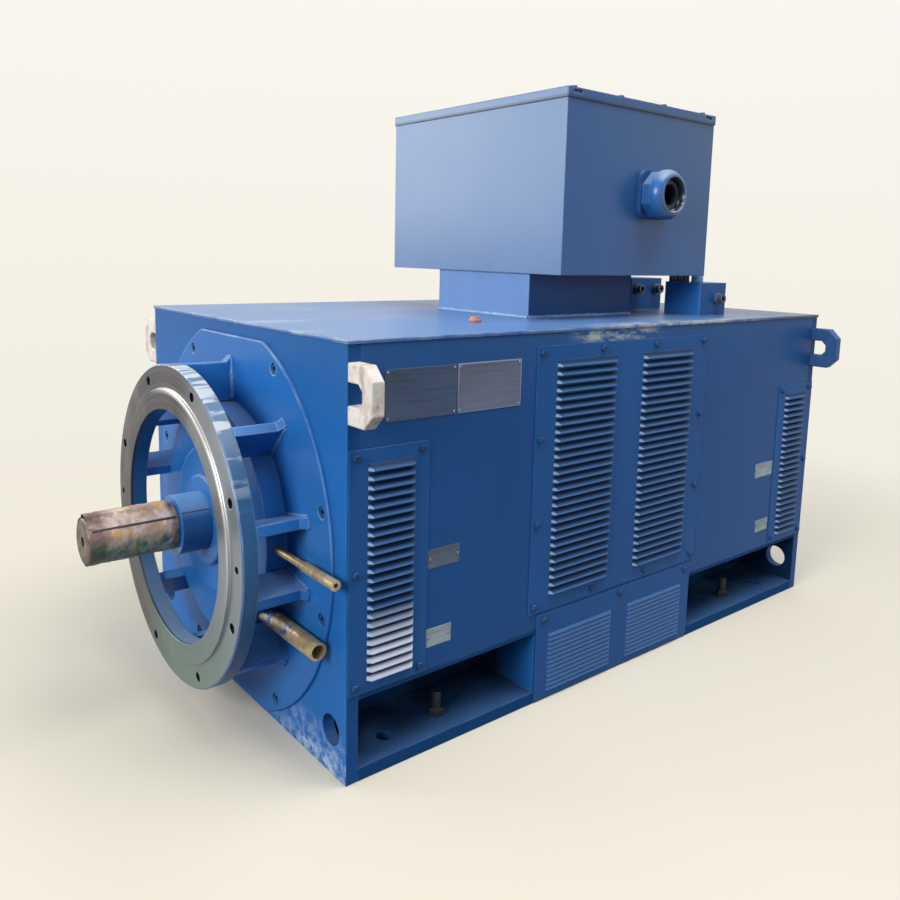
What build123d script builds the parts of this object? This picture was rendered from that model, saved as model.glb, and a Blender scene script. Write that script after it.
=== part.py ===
from build123d import *
from math import cos, radians, sin, sqrt
import os

# Asynchronous motor with a box frame, a foot base, a drive-end flange and a bare shaft end.
# Millimetres. +X runs from the drive end to the rear, -Y is the side with the plates, +Z is up.
# The origin lies on the base plane, at the centre of the foot bolt pattern.
# Right and left are as seen by someone who faces the shaft end: right is -Y.

# Housing, measured over the welded frame
HOUSING_LENGTH = 1880.0
HOUSING_WIDTH = 1096.0
HOUSING_HEIGHT = 980.0
SHAFT_HEIGHT = 475.0
END_PLATE = 30.0
SKIN = 8.0
ROOF = 8.0
ROOF_OVERHANG = 3.0
FLOOR = 10.0
WELD_GAP = 0.2
EDGE_CHAMFER = 2.0

# Feet: open pockets at the four lower corners
FOOT_PLATE = 30.0
FOOT_WALL = 12.0
FOOT_POCKET_HEIGHT = 193.0
FOOT_POCKET_DEPTH = 200.0
DRIVE_FOOT_LENGTH = 535.0
REAR_FOOT_LENGTH = 622.0
FOOT_BOLT_SPACING_X = 1580.0
FOOT_BOLT_SPACING_Y = 950.0
FOOT_BOLT_HOLE = 42.0
JACK_SCREW = 24.0
JACK_SCREW_LENGTH = 92.0
ACCESS_HOLE = 72.0
ACCESS_HOLE_EDGE = 64.0
ACCESS_HOLE_HEIGHT = 103.0

# Screwed side sheets and their pressed louvres
SHEET = 3.0
LOUVRE_DEPTH = 11.0
LOUVRE_LIP = 2.5
LOUVRE_END_SLOPE = 9.0
LOUVRE_WALL = 1.6
LOUVRE_FILL = 0.74
END_COVER_WIDTH = 208.0
END_COVER_HEIGHT = 545.0
END_COVER_EDGE = 2.0
END_LOUVRE_WIDTH = 124.0
END_LOUVRE_PITCH = 20.4
END_LOUVRES = 24
CENTRE_COVER_FROM = -403.0
CENTRE_COVER_WIDTH = 701.0
CENTRE_COVER_BOTTOM = 248.0
CENTRE_COVER_HEIGHT = 692.0
CENTRE_LOUVRE_WIDTH = 226.0
CENTRE_LOUVRE_PITCH = 21.2
CENTRE_LOUVRES = 29
CENTRE_LOUVRE_SPLIT = 337.0
LOWER_PANEL_MARGIN = 4.0
LOWER_PANEL_LAP = 8.0
LOWER_PANEL_TOP = 240.0
LOWER_RIB_WIDTH = 250.0
LOWER_RIB_PITCH = 12.5
LOWER_RIB_DEPTH = 4.0
LOWER_RIBS = 13
LOWER_RIB_SPLIT = 320.0
SCREW_HEAD = 17.0
SCREW_HEAD_HEIGHT = 6.5
SCREW_EDGE = 18.0

# Lifting lugs on the end plates
LUG_REACH = 90.0
LUG_HEIGHT = 130.0
LUG_THICKNESS = 30.0
LUG_GAP_DEPTH = 52.0
LUG_GAP_HEIGHT = 48.0
LUG_CHAMFER = 30.0
LUG_GAP_CHAMFER = 14.0
LUG_CENTRE_HEIGHT = 870.0

# Drive-end shield and lantern flange (flange size 740)
SHIELD_RADIUS = 500.0
SHIELD_RIM = 8.0
SHIELD_SEAT = 16.0
SHIELD_FLAT = 467.0
SPIGOT_RADIUS = 430.0
SPIGOT_DEPTH = 28.0
SPIGOT_CLEARANCE = 0.3
SHIELD_BOLT_RADIUS = 472.0
SHIELD_BOLT_HEAD = 24.0
SHIELD_BOLT_LENGTH = 13.0
SHIELD_BOLT_SOCKET = 14.0
SHIELD_COUNTERBORE = 29.0
SHIELD_COUNTERBORE_DEPTH = 15.0
HUB_RADIUS = 300.0
HUB_REACH = 52.0
FLANGE_FACE = 165.0
FLANGE_DIAMETER = 800.0
FLANGE_THICKNESS = 37.0
FLANGE_CHAMFER = 3.0
FLANGE_BORE = FLANGE_DIAMETER - 220.0
FLANGE_SPIGOT = FLANGE_DIAMETER - 120.0
FLANGE_SPIGOT_HEIGHT = 6.0
FLANGE_BOLT_CIRCLE = FLANGE_DIAMETER - 60.0
FLANGE_BOLT_HOLE = 24.0
FLANGE_BOLTS = 8
FLANGE_JACK_HOLE = 17.5
LANTERN_RIB = 25.0
LANTERN_RIB_WIDTH = 97.0
LANTERN_RIB_ROOT = SHIELD_BOLT_RADIUS - 56.0
HUB_CLEARANCE = 2.0
LANTERN_RIB_FLARE = 16.0
LANTERN_RIB_ANGLES = (90, 45, 12, -12, -45, -90, -135, -168, 168, 135)
SHIELD_BOLT_ANGLES = (60, 15, -15, -60, -120, -165, 165, 120)

# Rear shield
REAR_HUB_RADIUS = 235.0
REAR_HUB_REACH = 42.0

# Shaft
SHAFT_END = 110.0
SHAFT_END_LENGTH = 210.0
COLLAR = 148.0
DRIVE_SEAT = 150.0
DRIVE_SHOULDER = 164.0
SHAFT_BODY = 200.0
CORE_SEAT = 240.0
REAR_SHOULDER = 146.0
REAR_SEAT = 130.0
KEY_WIDTH = 28.0
KEY_HEIGHT = 16.0
KEY_DEPTH = 10.0
KEY_LENGTH = 180.0
CENTRE_HOLE = 24.0
RUNNING_GAP = 0.05
SEAT_GAP = 0.05

# Drive bearing: cylindrical rollers
DRIVE_BEARING_OD = 270.0
DRIVE_BEARING_WIDTH = 45.0
DRIVE_INNER_RACE = 182.0
DRIVE_OUTER_RACE = 234.0
DRIVE_ROLLERS = 16
ROLLER_LENGTH = 26.0
RACE_LIP = 5.0
CAGE_THICKNESS = 9.0
CAGE_SIDE = 4.0
CAGE_CLEARANCE = 0.3

# Rear bearing: balls
REAR_BEARING_OD = 230.0
REAR_BEARING_WIDTH = 40.0
REAR_INNER_RING = 164.0
REAR_OUTER_RING = 196.0
BALL = 34.0
REAR_BALLS = 9
BALL_SIDES = 12
GROOVE_CLEARANCE = 0.15

# Bearing caps, seal and grease pipes
CAP_RADIUS = 185.0
CAP_THICKNESS = 16.0
CAP_CLEARANCE = 1.5
INNER_CAP_RADIUS = 165.0
INNER_CAP_THICKNESS = 12.0
SEAL_RADIUS = 115.0
SEAL_WIDTH = 14.0
SEAL_GAP = 0.5
REAR_CAP_RADIUS = 150.0
REAR_CAP_THICKNESS = 18.0
GREASE_IN = 18.0
GREASE_IN_SLEEVE = 24.0
GREASE_IN_HEIGHT = 473.0
GREASE_IN_TIP = 560.0
GREASE_IN_SLEEVE_LENGTH = 130.0
GREASE_OUT = 42.0
GREASE_OUT_WALL = 6.0
GREASE_OUT_HEIGHT = 298.0
GREASE_OUT_TIP = 487.0
PIPE_BORE_WALL = 4.0

# Stator and rotor
CORE_LENGTH = 620.0
STATOR_OUTER = 400.0
STATOR_BORE = 272.0
STATOR_SLOTS = 36
SLOT_WIDTH = 14.0
SLOT_DEPTH = 58.0
SLOT_CLEARANCE = 0.3
END_TURN = 100.0
END_TURN_GAP = 12.0
ROTOR_OUTER = 270.0
ROTOR_BARS = 30
BAR_WIDTH = 10.0
BAR_DEPTH = 36.0
BAR_BELOW_SURFACE = 5.0
CAGE_RING_GAP = 6.0
CAGE_RING_WIDTH = 34.0
VENT_HOLE = 44.0
VENT_HOLES = 8
VENT_RADIUS = 170.0
SUPPORT_THICKNESS = 14.0
SUPPORT_POSITION = 245.0
BAFFLE_THICKNESS = 5.0
BAFFLE_POSITION = 520.0
BAFFLE_HOLE = 285.0
FAN_RADIUS = 265.0
FAN_WIDTH = 62.0
FAN_POSITION = 445.0
FAN_HUB_RADIUS = 135.0
FAN_PLATE = 8.0
FAN_BLADES = 12

# Terminal box on the roof
NECK_CENTRE_X = 59.0
NECK_CENTRE_Y = -58.0
NECK_LENGTH = 448.0
NECK_WIDTH = 414.0
NECK_HEIGHT = 126.0
BOX_CENTRE_X = 158.0
BOX_LENGTH = 660.0
BOX_WIDTH = 786.0
BOX_HEIGHT = 488.0
BOX_WALL = 6.0
BOX_RIM = 40.0
GASKET = 3.0
LID_HEIGHT = 27.0
LID_SHEET = 4.0
LID_OVERHANG = 4.0
LID_BOLT = 12.0
LID_BOLTS_ALONG = 4
LID_NOTCH_LENGTH = 34.0
GLAND_X = 200.0
GLAND_HEIGHT = 1341.0
GLAND_BASE = 138.0
GLAND_BASE_LENGTH = 14.0
GLAND_BODY = 122.0
GLAND_BODY_LENGTH = 28.0
GLAND_NUT = 144.0
GLAND_NUT_LENGTH = 44.0
GLAND_MOUTH = 84.0
GLAND_SEAL_WALL = 11.0
GLAND_BORE = 92.0
INSULATOR_SPACING = 180.0
INSULATOR_HEIGHT = 150.0
INSULATOR_RADIUS = 34.0
INSULATOR_WAIST = 26.0
INSULATOR_INSET = 120.0
INSULATOR_STUD = 12.0
INSULATOR_STUD_PROUD = 50.0

# Small boxes for the heater and sensor leads, behind the terminal box
SENSOR_BOX = (145.0, 140.0, 103.0)
SENSOR_BOX_PLACE = (557.5, -316.0)
HEATER_BOX = (170.0, 150.0, 108.0)
HEATER_BOX_PLACE = (575.0, -25.0)
SMALL_GLAND = 30.0
SMALL_GLAND_BORE = 17.0
SMALL_GLAND_LENGTH = 26.0
SMALL_GLAND_FLANGE = 38.0
HEATER_GLAND_OFFSETS = (-55.0, 50.0)
SENSOR_GLAND_OFFSET = 20.0

os.makedirs("parts", exist_ok=True)

DRIVE_FACE = -HOUSING_LENGTH / 2
REAR_FACE = HOUSING_LENGTH / 2
DRIVE_INNER = DRIVE_FACE + END_PLATE
REAR_INNER = REAR_FACE - END_PLATE
HALF_WIDTH = HOUSING_WIDTH / 2
SKIN_INNER = HALF_WIDTH - SKIN
ROOF_UNDER = HOUSING_HEIGHT - ROOF
FOOT_TOP = FOOT_POCKET_HEIGHT + FOOT_WALL
FOOT_INNER = HALF_WIDTH - FOOT_POCKET_DEPTH - FOOT_WALL
DRIVE_FOOT_END = DRIVE_INNER + DRIVE_FOOT_LENGTH + FOOT_WALL
REAR_FOOT_END = REAR_INNER - REAR_FOOT_LENGTH - FOOT_WALL
SHAFT_AXIS = Axis((0, 0, SHAFT_HEIGHT), (1, 0, 0))
SHAFT_PLANE = Plane(origin=(0, 0, SHAFT_HEIGHT), x_dir=(1, 0, 0), z_dir=(0, -1, 0))
HUB_FACE = DRIVE_FACE - SHIELD_RIM - HUB_REACH
REAR_HUB_FACE = REAR_FACE + SHIELD_RIM + REAR_HUB_REACH
FLANGE_PLANE = DRIVE_FACE - FLANGE_FACE
DRIVE_BEARING_X = HUB_FACE + 8.0
REAR_BEARING_X = REAR_HUB_FACE - 8.0 - REAR_BEARING_WIDTH


def save(name, shape):
    """Write one sub-part."""
    export_step(shape, os.path.join("parts", name + ".step"))


def block(x0, x1, y0, y1, z0, z1):
    """A box from its lowest to its highest corner."""
    return Pos((x0 + x1) / 2, (y0 + y1) / 2, (z0 + z1) / 2) * Box(x1 - x0, y1 - y0, z1 - z0)


def rod_x(radius, x0, x1, y=0.0, z=SHAFT_HEIGHT):
    """A round bar along X."""
    return Pos((x0 + x1) / 2, y, z) * Rot(0, 90, 0) * Cylinder(radius, x1 - x0)


def rod_y(radius, y0, y1, x, z):
    """A round bar along Y."""
    return Pos(x, (y0 + y1) / 2, z) * Rot(90, 0, 0) * Cylinder(radius, y1 - y0)


def rod_z(radius, z0, z1, x, y):
    """A round bar along Z."""
    return Pos(x, y, (z0 + z1) / 2) * Cylinder(radius, z1 - z0)


def tube_x(outer, inner, x0, x1):
    """A ring about the shaft axis."""
    return rod_x(outer, x0, x1) - rod_x(inner, x0, x1)


def turned(points):
    """A body of revolution about the shaft axis from (x, radius) points."""
    outline = make_face(Polyline(*points, close=True))
    return revolve(SHAFT_PLANE * outline, SHAFT_AXIS)


def polar(radius, angle):
    """Y and Z at an angle about the shaft, where 0 points to -Y and 90 points up."""
    return -radius * cos(radians(angle)), SHAFT_HEIGHT + radius * sin(radians(angle))


def radial_plate(x0, x1, inner, outer, thickness, angle):
    """A flat plate that stands radially on the shaft axis."""
    plate = Pos((x0 + x1) / 2, -(inner + outer) / 2, 0) * Box(x1 - x0, outer - inner, thickness)
    return Pos(0, 0, SHAFT_HEIGHT) * Rot(-angle, 0, 0) * plate


def mirrored(shape):
    """The same piece for the other long side."""
    return mirror(shape, Plane.XZ)


def other_end(shape):
    """The same piece for the other end."""
    return mirror(shape, Plane.YZ)


# End plates
def end_plate():
    plate = block(DRIVE_FACE, DRIVE_INNER, -HALF_WIDTH, HALF_WIDTH, 0, ROOF_UNDER)
    plate -= rod_x(SPIGOT_RADIUS, DRIVE_FACE, DRIVE_INNER)
    plate -= shield_rim(SHIELD_RADIUS + SPIGOT_CLEARANCE, DRIVE_FACE, SHIELD_FLAT + SPIGOT_CLEARANCE)
    for side in (-1, 1):
        y = side * (HALF_WIDTH - ACCESS_HOLE_EDGE)
        plate -= rod_x(ACCESS_HOLE / 2, DRIVE_FACE, DRIVE_INNER, y, ACCESS_HOLE_HEIGHT)
    return plate


# Roof plate with the opening for the leads
def roof_plate():
    edge = ROOF_OVERHANG
    plate = block(DRIVE_FACE - edge, REAR_FACE + edge, -HALF_WIDTH - edge, HALF_WIDTH + edge,
                  ROOF_UNDER, HOUSING_HEIGHT)
    inside_x = NECK_LENGTH / 2 - 2 * BOX_WALL
    inside_y = NECK_WIDTH / 2 - 2 * BOX_WALL
    return plate - block(NECK_CENTRE_X - inside_x, NECK_CENTRE_X + inside_x,
                         NECK_CENTRE_Y - inside_y, NECK_CENTRE_Y + inside_y,
                         ROOF_UNDER, HOUSING_HEIGHT)


# Floor plate between the feet
def floor_plate():
    spine = block(DRIVE_INNER, REAR_INNER, -FOOT_INNER, FOOT_INNER, 0, FLOOR)
    return spine + block(DRIVE_FOOT_END, REAR_FOOT_END, -SKIN_INNER, SKIN_INNER, 0, FLOOR)


# One foot on the right-hand side: plate, back wall, inner end wall and top, welded
def foot(x_plate, x_inner, bolt_x):
    low, high = min(x_plate, x_inner), max(x_plate, x_inner)
    wall_low, wall_high = (high - FOOT_WALL, high) if x_inner > x_plate else (low, low + FOOT_WALL)
    shape = block(low, high, -HALF_WIDTH, -FOOT_INNER, 0, FOOT_PLATE)
    shape += block(low, high, -FOOT_INNER - FOOT_WALL, -FOOT_INNER, 0, FOOT_TOP)
    shape += block(low, high, -HALF_WIDTH, -FOOT_INNER, FOOT_POCKET_HEIGHT, FOOT_TOP)
    shape += block(wall_low, wall_high, -HALF_WIDTH, -FOOT_INNER, 0, FOOT_TOP)
    shape -= rod_z(FOOT_BOLT_HOLE / 2, 0, FOOT_PLATE, bolt_x, -FOOT_BOLT_SPACING_Y / 2)
    shape -= rod_z(JACK_SCREW / 2 + WELD_GAP, 0, FOOT_PLATE, (low + high) / 2, -FOOT_BOLT_SPACING_Y / 2)
    return shape


def jack_screw(x):
    y = -FOOT_BOLT_SPACING_Y / 2
    shank = rod_z(JACK_SCREW / 2, WELD_GAP, JACK_SCREW_LENGTH, x, y)
    nut = extrude(RegularPolygon(JACK_SCREW * 0.85, 6), JACK_SCREW * 0.8)
    return shank + Pos(x, y, FOOT_PLATE) * nut


# Side skin with its air windows, right-hand side
def side_skin():
    skin = block(DRIVE_INNER, REAR_INNER, -HALF_WIDTH, -SKIN_INNER, FOOT_TOP, ROOF_UNDER)
    skin += block(DRIVE_FOOT_END, REAR_FOOT_END, -HALF_WIDTH, -SKIN_INNER, 0, FOOT_TOP)
    window = END_LOUVRE_WIDTH / 2 + SCREW_EDGE / 2
    half = END_LOUVRES * END_LOUVRE_PITCH / 2 + SCREW_EDGE / 2
    for x in (END_LOUVRE_X, -END_LOUVRE_X):
        skin -= block(x - window, x + window, -HALF_WIDTH, -SKIN_INNER,
                      END_LOUVRE_Z - half, END_LOUVRE_Z + half)
    low_x = CENTRE_COVER_FROM + 2 * SCREW_EDGE
    high_x = CENTRE_COVER_FROM + CENTRE_COVER_WIDTH - 2 * SCREW_EDGE
    skin -= block(low_x, high_x, -HALF_WIDTH, -SKIN_INNER,
                  CENTRE_COVER_BOTTOM + 2 * SCREW_EDGE,
                  CENTRE_COVER_BOTTOM + CENTRE_COVER_HEIGHT - 2 * SCREW_EDGE)
    return skin - block(low_x, REAR_FOOT_END - 2 * SCREW_EDGE, -HALF_WIDTH, -SKIN_INNER,
                        FLOOR + SCREW_EDGE / 2, FOOT_POCKET_HEIGHT)


END_LOUVRE_X = DRIVE_FACE + END_COVER_EDGE + END_COVER_WIDTH / 2 + 5.0
END_LOUVRE_Z = FOOT_TOP + END_COVER_HEIGHT / 2


def hood(width, height, depth, slope, lip):
    """A louvre hood on the plane y = 0 that stands out to -Y, with its open edge at z = 0."""
    body = Wedge(width, depth, height, slope, 0, width - slope, lip,
                 align=(Align.CENTER, Align.MIN, Align.MIN))
    return Rot(0, 0, 180) * body


def louvred_sheet(x0, x1, z0, z1, banks):
    """A sheet on the right-hand skin with banks of (x, z, width, pitch, count) louvres."""
    face = -HALF_WIDTH - SHEET
    sheet = block(x0, x1, face, -HALF_WIDTH, z0, z1)
    hoods, hollows = [], []
    for x, z, width, pitch, count in banks:
        height = pitch * LOUVRE_FILL
        outer = hood(width, height, LOUVRE_DEPTH, LOUVRE_END_SLOPE, LOUVRE_LIP)
        inner = hood(width - 2 * LOUVRE_WALL, height - LOUVRE_WALL, LOUVRE_DEPTH - LOUVRE_WALL + SHEET,
                     LOUVRE_END_SLOPE, LOUVRE_LIP)
        for step in range(count):
            low = z - count * pitch / 2 + step * pitch
            hoods.append(Pos(x, face, low) * outer)
            hollows.append(Pos(x, -HALF_WIDTH, low) * inner)
    return sheet + hoods - hollows


def end_cover():
    x0 = DRIVE_FACE + END_COVER_EDGE
    bank = (END_LOUVRE_X, END_LOUVRE_Z, END_LOUVRE_WIDTH, END_LOUVRE_PITCH, END_LOUVRES)
    return louvred_sheet(x0, x0 + END_COVER_WIDTH, FOOT_TOP, FOOT_TOP + END_COVER_HEIGHT, [bank])


def centre_cover():
    middle = CENTRE_COVER_FROM + CENTRE_COVER_WIDTH / 2
    z = CENTRE_COVER_BOTTOM + CENTRE_COVER_HEIGHT / 2 + 5.0
    banks = [(middle + side * CENTRE_LOUVRE_SPLIT / 2, z, CENTRE_LOUVRE_WIDTH, CENTRE_LOUVRE_PITCH,
              CENTRE_LOUVRES) for side in (-1, 1)]
    return louvred_sheet(CENTRE_COVER_FROM, CENTRE_COVER_FROM + CENTRE_COVER_WIDTH, CENTRE_COVER_BOTTOM,
                         CENTRE_COVER_BOTTOM + CENTRE_COVER_HEIGHT, banks)


# Lower panel between the feet, with fine pressed ribs
def lower_panel():
    face = -HALF_WIDTH - SHEET
    x0, x1 = DRIVE_FOOT_END - LOWER_PANEL_LAP, REAR_FOOT_END + LOWER_PANEL_LAP
    panel = block(x0, x1, face, -HALF_WIDTH, LOWER_PANEL_MARGIN, LOWER_PANEL_TOP)
    rib = hood(LOWER_RIB_WIDTH, LOWER_RIB_PITCH * LOUVRE_FILL, LOWER_RIB_DEPTH, LOWER_RIB_DEPTH, 1.0)
    middle = (x0 + x1) / 2
    ribs = []
    for side in (-1, 1):
        for step in range(LOWER_RIBS):
            z = LOWER_PANEL_MARGIN + SCREW_EDGE + step * LOWER_RIB_PITCH
            ribs.append(Pos(middle + side * LOWER_RIB_SPLIT / 2, face, z) * rib)
    return panel + ribs


def screw_head(x, z):
    """A hexagon head seated on a right-hand cover."""
    head = extrude(RegularPolygon(SCREW_HEAD / 2, 6), SCREW_HEAD_HEIGHT)
    return Pos(x, -HALF_WIDTH - SHEET, z) * Rot(90, 0, 0) * head


def cover_screws():
    places = []
    low, high = FOOT_TOP + SCREW_EDGE, FOOT_TOP + END_COVER_HEIGHT - SCREW_EDGE
    outer_x = DRIVE_FACE + END_COVER_EDGE + SCREW_EDGE
    inner_x = DRIVE_FACE + END_COVER_EDGE + END_COVER_WIDTH - SCREW_EDGE
    for side in (-1, 1):
        places += [(side * -outer_x, low), (side * -outer_x, (low + high) / 2), (side * -outer_x, high)]
        places += [(side * -inner_x, low), (side * -inner_x, high)]
    x0, x1 = CENTRE_COVER_FROM + SCREW_EDGE, CENTRE_COVER_FROM + CENTRE_COVER_WIDTH - SCREW_EDGE
    z0 = CENTRE_COVER_BOTTOM + SCREW_EDGE
    z1 = CENTRE_COVER_BOTTOM + CENTRE_COVER_HEIGHT - SCREW_EDGE
    for step in range(4):
        z = z0 + (z1 - z0) * step / 3
        places += [(x0, z), (x1, z)]
    for step in (1, 2):
        x = x0 + (x1 - x0) * step / 3
        places += [(x, z0), (x, z1)]
    x0, x1 = DRIVE_FOOT_END + SCREW_EDGE, REAR_FOOT_END - SCREW_EDGE
    for x in (x0, (x0 + x1) / 2, x1):
        places += [(x, LOWER_PANEL_TOP - SCREW_EDGE)]
    right = [screw_head(x, z) for x, z in places]
    return Compound(right + [mirrored(head) for head in right])


# Lifting lug at the right-hand front corner, half of an eight-sided ring
def lug():
    wall = -HALF_WIDTH
    top = LUG_CENTRE_HEIGHT + LUG_HEIGHT / 2
    low = LUG_CENTRE_HEIGHT - LUG_HEIGHT / 2
    tip = wall - LUG_REACH
    outline = Polyline((wall, low), (tip + LUG_CHAMFER, low), (tip, low + LUG_CHAMFER),
                       (tip, top - LUG_CHAMFER), (tip + LUG_CHAMFER, top), (wall, top), close=True)
    plate = extrude(Plane.YZ * make_face(outline), LUG_THICKNESS)
    top, low = LUG_CENTRE_HEIGHT + LUG_GAP_HEIGHT / 2, LUG_CENTRE_HEIGHT - LUG_GAP_HEIGHT / 2
    tip, corner = wall - LUG_GAP_DEPTH, LUG_GAP_CHAMFER
    outline = Polyline((wall, low), (tip + corner, low), (tip, low + corner), (tip, top - corner),
                       (tip + corner, top), (wall, top), close=True)
    gap = extrude(Plane.YZ * make_face(outline), LUG_THICKNESS)
    lug_plate = Pos(DRIVE_FACE, 0, 0) * (plate - gap)
    rim = lug_plate.edges().filter_by(GeomType.LINE).filter_by(lambda edge: edge.center().Y < wall - 1)
    return chamfer(rim.filter_by(Plane.YZ), EDGE_CHAMFER)


# Shields
def shield_rim(radius, face, flat):
    """The round rim, cut flat above and below, from a face down to its seat in the end plate."""
    back = DRIVE_FACE + SHIELD_SEAT
    rim = rod_x(radius, face, back)
    return rim & block(face, back, -HALF_WIDTH, HALF_WIDTH, SHAFT_HEIGHT - flat, SHAFT_HEIGHT + flat)


def shield_disc(outer_face, rim_face, hub_face, hub_radius, bore):
    """A drive-end style shield: rim, spigot and hub, with the rim cut flat above and below."""
    inner_face = rim_face + SHIELD_RIM
    disc = shield_rim(SHIELD_RADIUS, rim_face, SHIELD_FLAT)
    outer_edges = disc.faces().sort_by(Axis.X)[0].edges()
    disc = chamfer(outer_edges, EDGE_CHAMFER)
    disc += rod_x(SPIGOT_RADIUS - SPIGOT_CLEARANCE, inner_face, inner_face + SPIGOT_DEPTH)
    for angle in SHIELD_BOLT_ANGLES:
        y, z = polar(SHIELD_BOLT_RADIUS, angle)
        disc -= rod_x(SHIELD_COUNTERBORE / 2, rim_face, rim_face + SHIELD_COUNTERBORE_DEPTH, y, z)
    disc += rod_x(hub_radius, hub_face, rim_face)
    return disc - rod_x(bore, hub_face, inner_face + SPIGOT_DEPTH)


def drive_shield():
    rim = DRIVE_FACE - SHIELD_RIM
    shield = shield_disc(rim, rim, HUB_FACE, HUB_RADIUS, DRIVE_BEARING_OD / 2 + SEAT_GAP)
    shield -= rod_y(GREASE_IN / 2 + WELD_GAP, -HUB_RADIUS, -DRIVE_BEARING_OD / 2, GREASE_X, GREASE_IN_HEIGHT)
    return shield - rod_y(GREASE_OUT / 2 + WELD_GAP, -HUB_RADIUS, 0, GREASE_X, GREASE_OUT_HEIGHT)


GREASE_X = DRIVE_FACE - SHIELD_RIM - HUB_REACH / 2


def rear_shield():
    rim = DRIVE_FACE - SHIELD_RIM
    hub_face = rim - REAR_HUB_REACH
    return other_end(shield_disc(rim, rim, hub_face, REAR_HUB_RADIUS, REAR_BEARING_OD / 2 + SEAT_GAP))


def shield_bolts():
    """Socket screws at the bottom of the counterbores in both shield rims."""
    head = Pos(0, 0, SHIELD_BOLT_LENGTH / 2) * Cylinder(SHIELD_BOLT_HEAD / 2, SHIELD_BOLT_LENGTH)
    socket = extrude(RegularPolygon(SHIELD_BOLT_SOCKET / 2, 6), SHIELD_BOLT_LENGTH * 0.6)
    head -= Pos(0, 0, SHIELD_BOLT_LENGTH * 0.4) * socket
    bolts = []
    for angle in SHIELD_BOLT_ANGLES:
        y, z = polar(SHIELD_BOLT_RADIUS, angle)
        seat = DRIVE_FACE - SHIELD_RIM + SHIELD_COUNTERBORE_DEPTH
        bolt = Pos(seat, y, z) * Rot(0, -90, 0) * head
        bolts += [bolt, other_end(bolt)]
    return Compound(bolts)


def flange_ring():
    face, back = FLANGE_PLANE, FLANGE_PLANE + FLANGE_THICKNESS
    front = face - FLANGE_SPIGOT_HEIGHT
    outer, edge = FLANGE_DIAMETER / 2, FLANGE_CHAMFER
    ring = turned([(front, FLANGE_BORE / 2), (front, FLANGE_SPIGOT / 2), (face, FLANGE_SPIGOT / 2),
                   (face, outer - edge), (face + edge, outer), (back, outer), (back, FLANGE_BORE / 2)])
    for step in range(FLANGE_BOLTS):
        y, z = polar(FLANGE_BOLT_CIRCLE / 2, (step + 0.5) * 360 / FLANGE_BOLTS)
        ring -= rod_x(FLANGE_BOLT_HOLE / 2, face, back, y, z)
    for angle in (0, 180):
        y, z = polar(FLANGE_BOLT_CIRCLE / 2, angle)
        ring -= rod_x(FLANGE_JACK_HOLE / 2, face, back, y, z)
    return ring


def flange_ribs():
    """Flat ribs from the shield to the flange ring, flared at the root and clear of the hub."""
    x0, x1 = FLANGE_PLANE + FLANGE_THICKNESS, DRIVE_FACE - SHIELD_RIM
    outer, root, flare = FLANGE_DIAMETER / 2, LANTERN_RIB_ROOT, LANTERN_RIB_FLARE
    inner = outer - LANTERN_RIB_WIDTH
    outline = Polyline((x0, -inner), (x1, -inner), (x1, -root), (x1 - flare, flare - root),
                       (x0, -outer), close=True)
    rib = Pos(0, 0, -LANTERN_RIB / 2) * extrude(make_face(outline), LANTERN_RIB)
    hub = Rot(0, 90, 0) * Cylinder(HUB_RADIUS + HUB_CLEARANCE, 2 * (x1 - HUB_FACE + HUB_CLEARANCE))
    rib -= Pos(x1, 0, 0) * hub
    return Compound([Pos(0, 0, SHAFT_HEIGHT) * Rot(-angle, 0, 0) * rib for angle in LANTERN_RIB_ANGLES])


# Drive bearing
def drive_outer_ring():
    x0, x1 = DRIVE_BEARING_X, DRIVE_BEARING_X + DRIVE_BEARING_WIDTH
    lip = (DRIVE_BEARING_WIDTH - ROLLER_LENGTH) / 2 - WELD_GAP
    race, edge, outer = DRIVE_OUTER_RACE / 2, DRIVE_OUTER_RACE / 2 - RACE_LIP, DRIVE_BEARING_OD / 2
    return turned([(x0, outer), (x0, edge), (x0 + lip, edge), (x0 + lip, race), (x1 - lip, race),
                   (x1 - lip, edge), (x1, edge), (x1, outer)])


def drive_roller_set():
    radius = (DRIVE_OUTER_RACE - DRIVE_INNER_RACE) / 4
    pitch = (DRIVE_OUTER_RACE + DRIVE_INNER_RACE) / 4
    x0 = DRIVE_BEARING_X + (DRIVE_BEARING_WIDTH - ROLLER_LENGTH) / 2
    x1 = x0 + ROLLER_LENGTH
    cage = tube_x(pitch + CAGE_THICKNESS / 2, pitch - CAGE_THICKNESS / 2, x0 - CAGE_SIDE, x1 + CAGE_SIDE)
    rollers, pockets = [], []
    for step in range(DRIVE_ROLLERS):
        y, z = polar(pitch, step * 360 / DRIVE_ROLLERS)
        rollers.append(rod_x(radius - RUNNING_GAP, x0, x1, y, z))
        pockets.append(rod_x(radius + CAGE_CLEARANCE, x0 - CAGE_CLEARANCE, x1 + CAGE_CLEARANCE, y, z))
    return Compound([cage - pockets] + rollers)


# Rear bearing
def rear_groove():
    x = REAR_BEARING_X + REAR_BEARING_WIDTH / 2
    pitch = (REAR_OUTER_RING + REAR_INNER_RING) / 4
    groove = Pos(x, pitch) * RegularPolygon(BALL / 2 + GROOVE_CLEARANCE, BALL_SIDES, major_radius=False)
    return revolve(SHAFT_PLANE * groove, SHAFT_AXIS)


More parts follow.
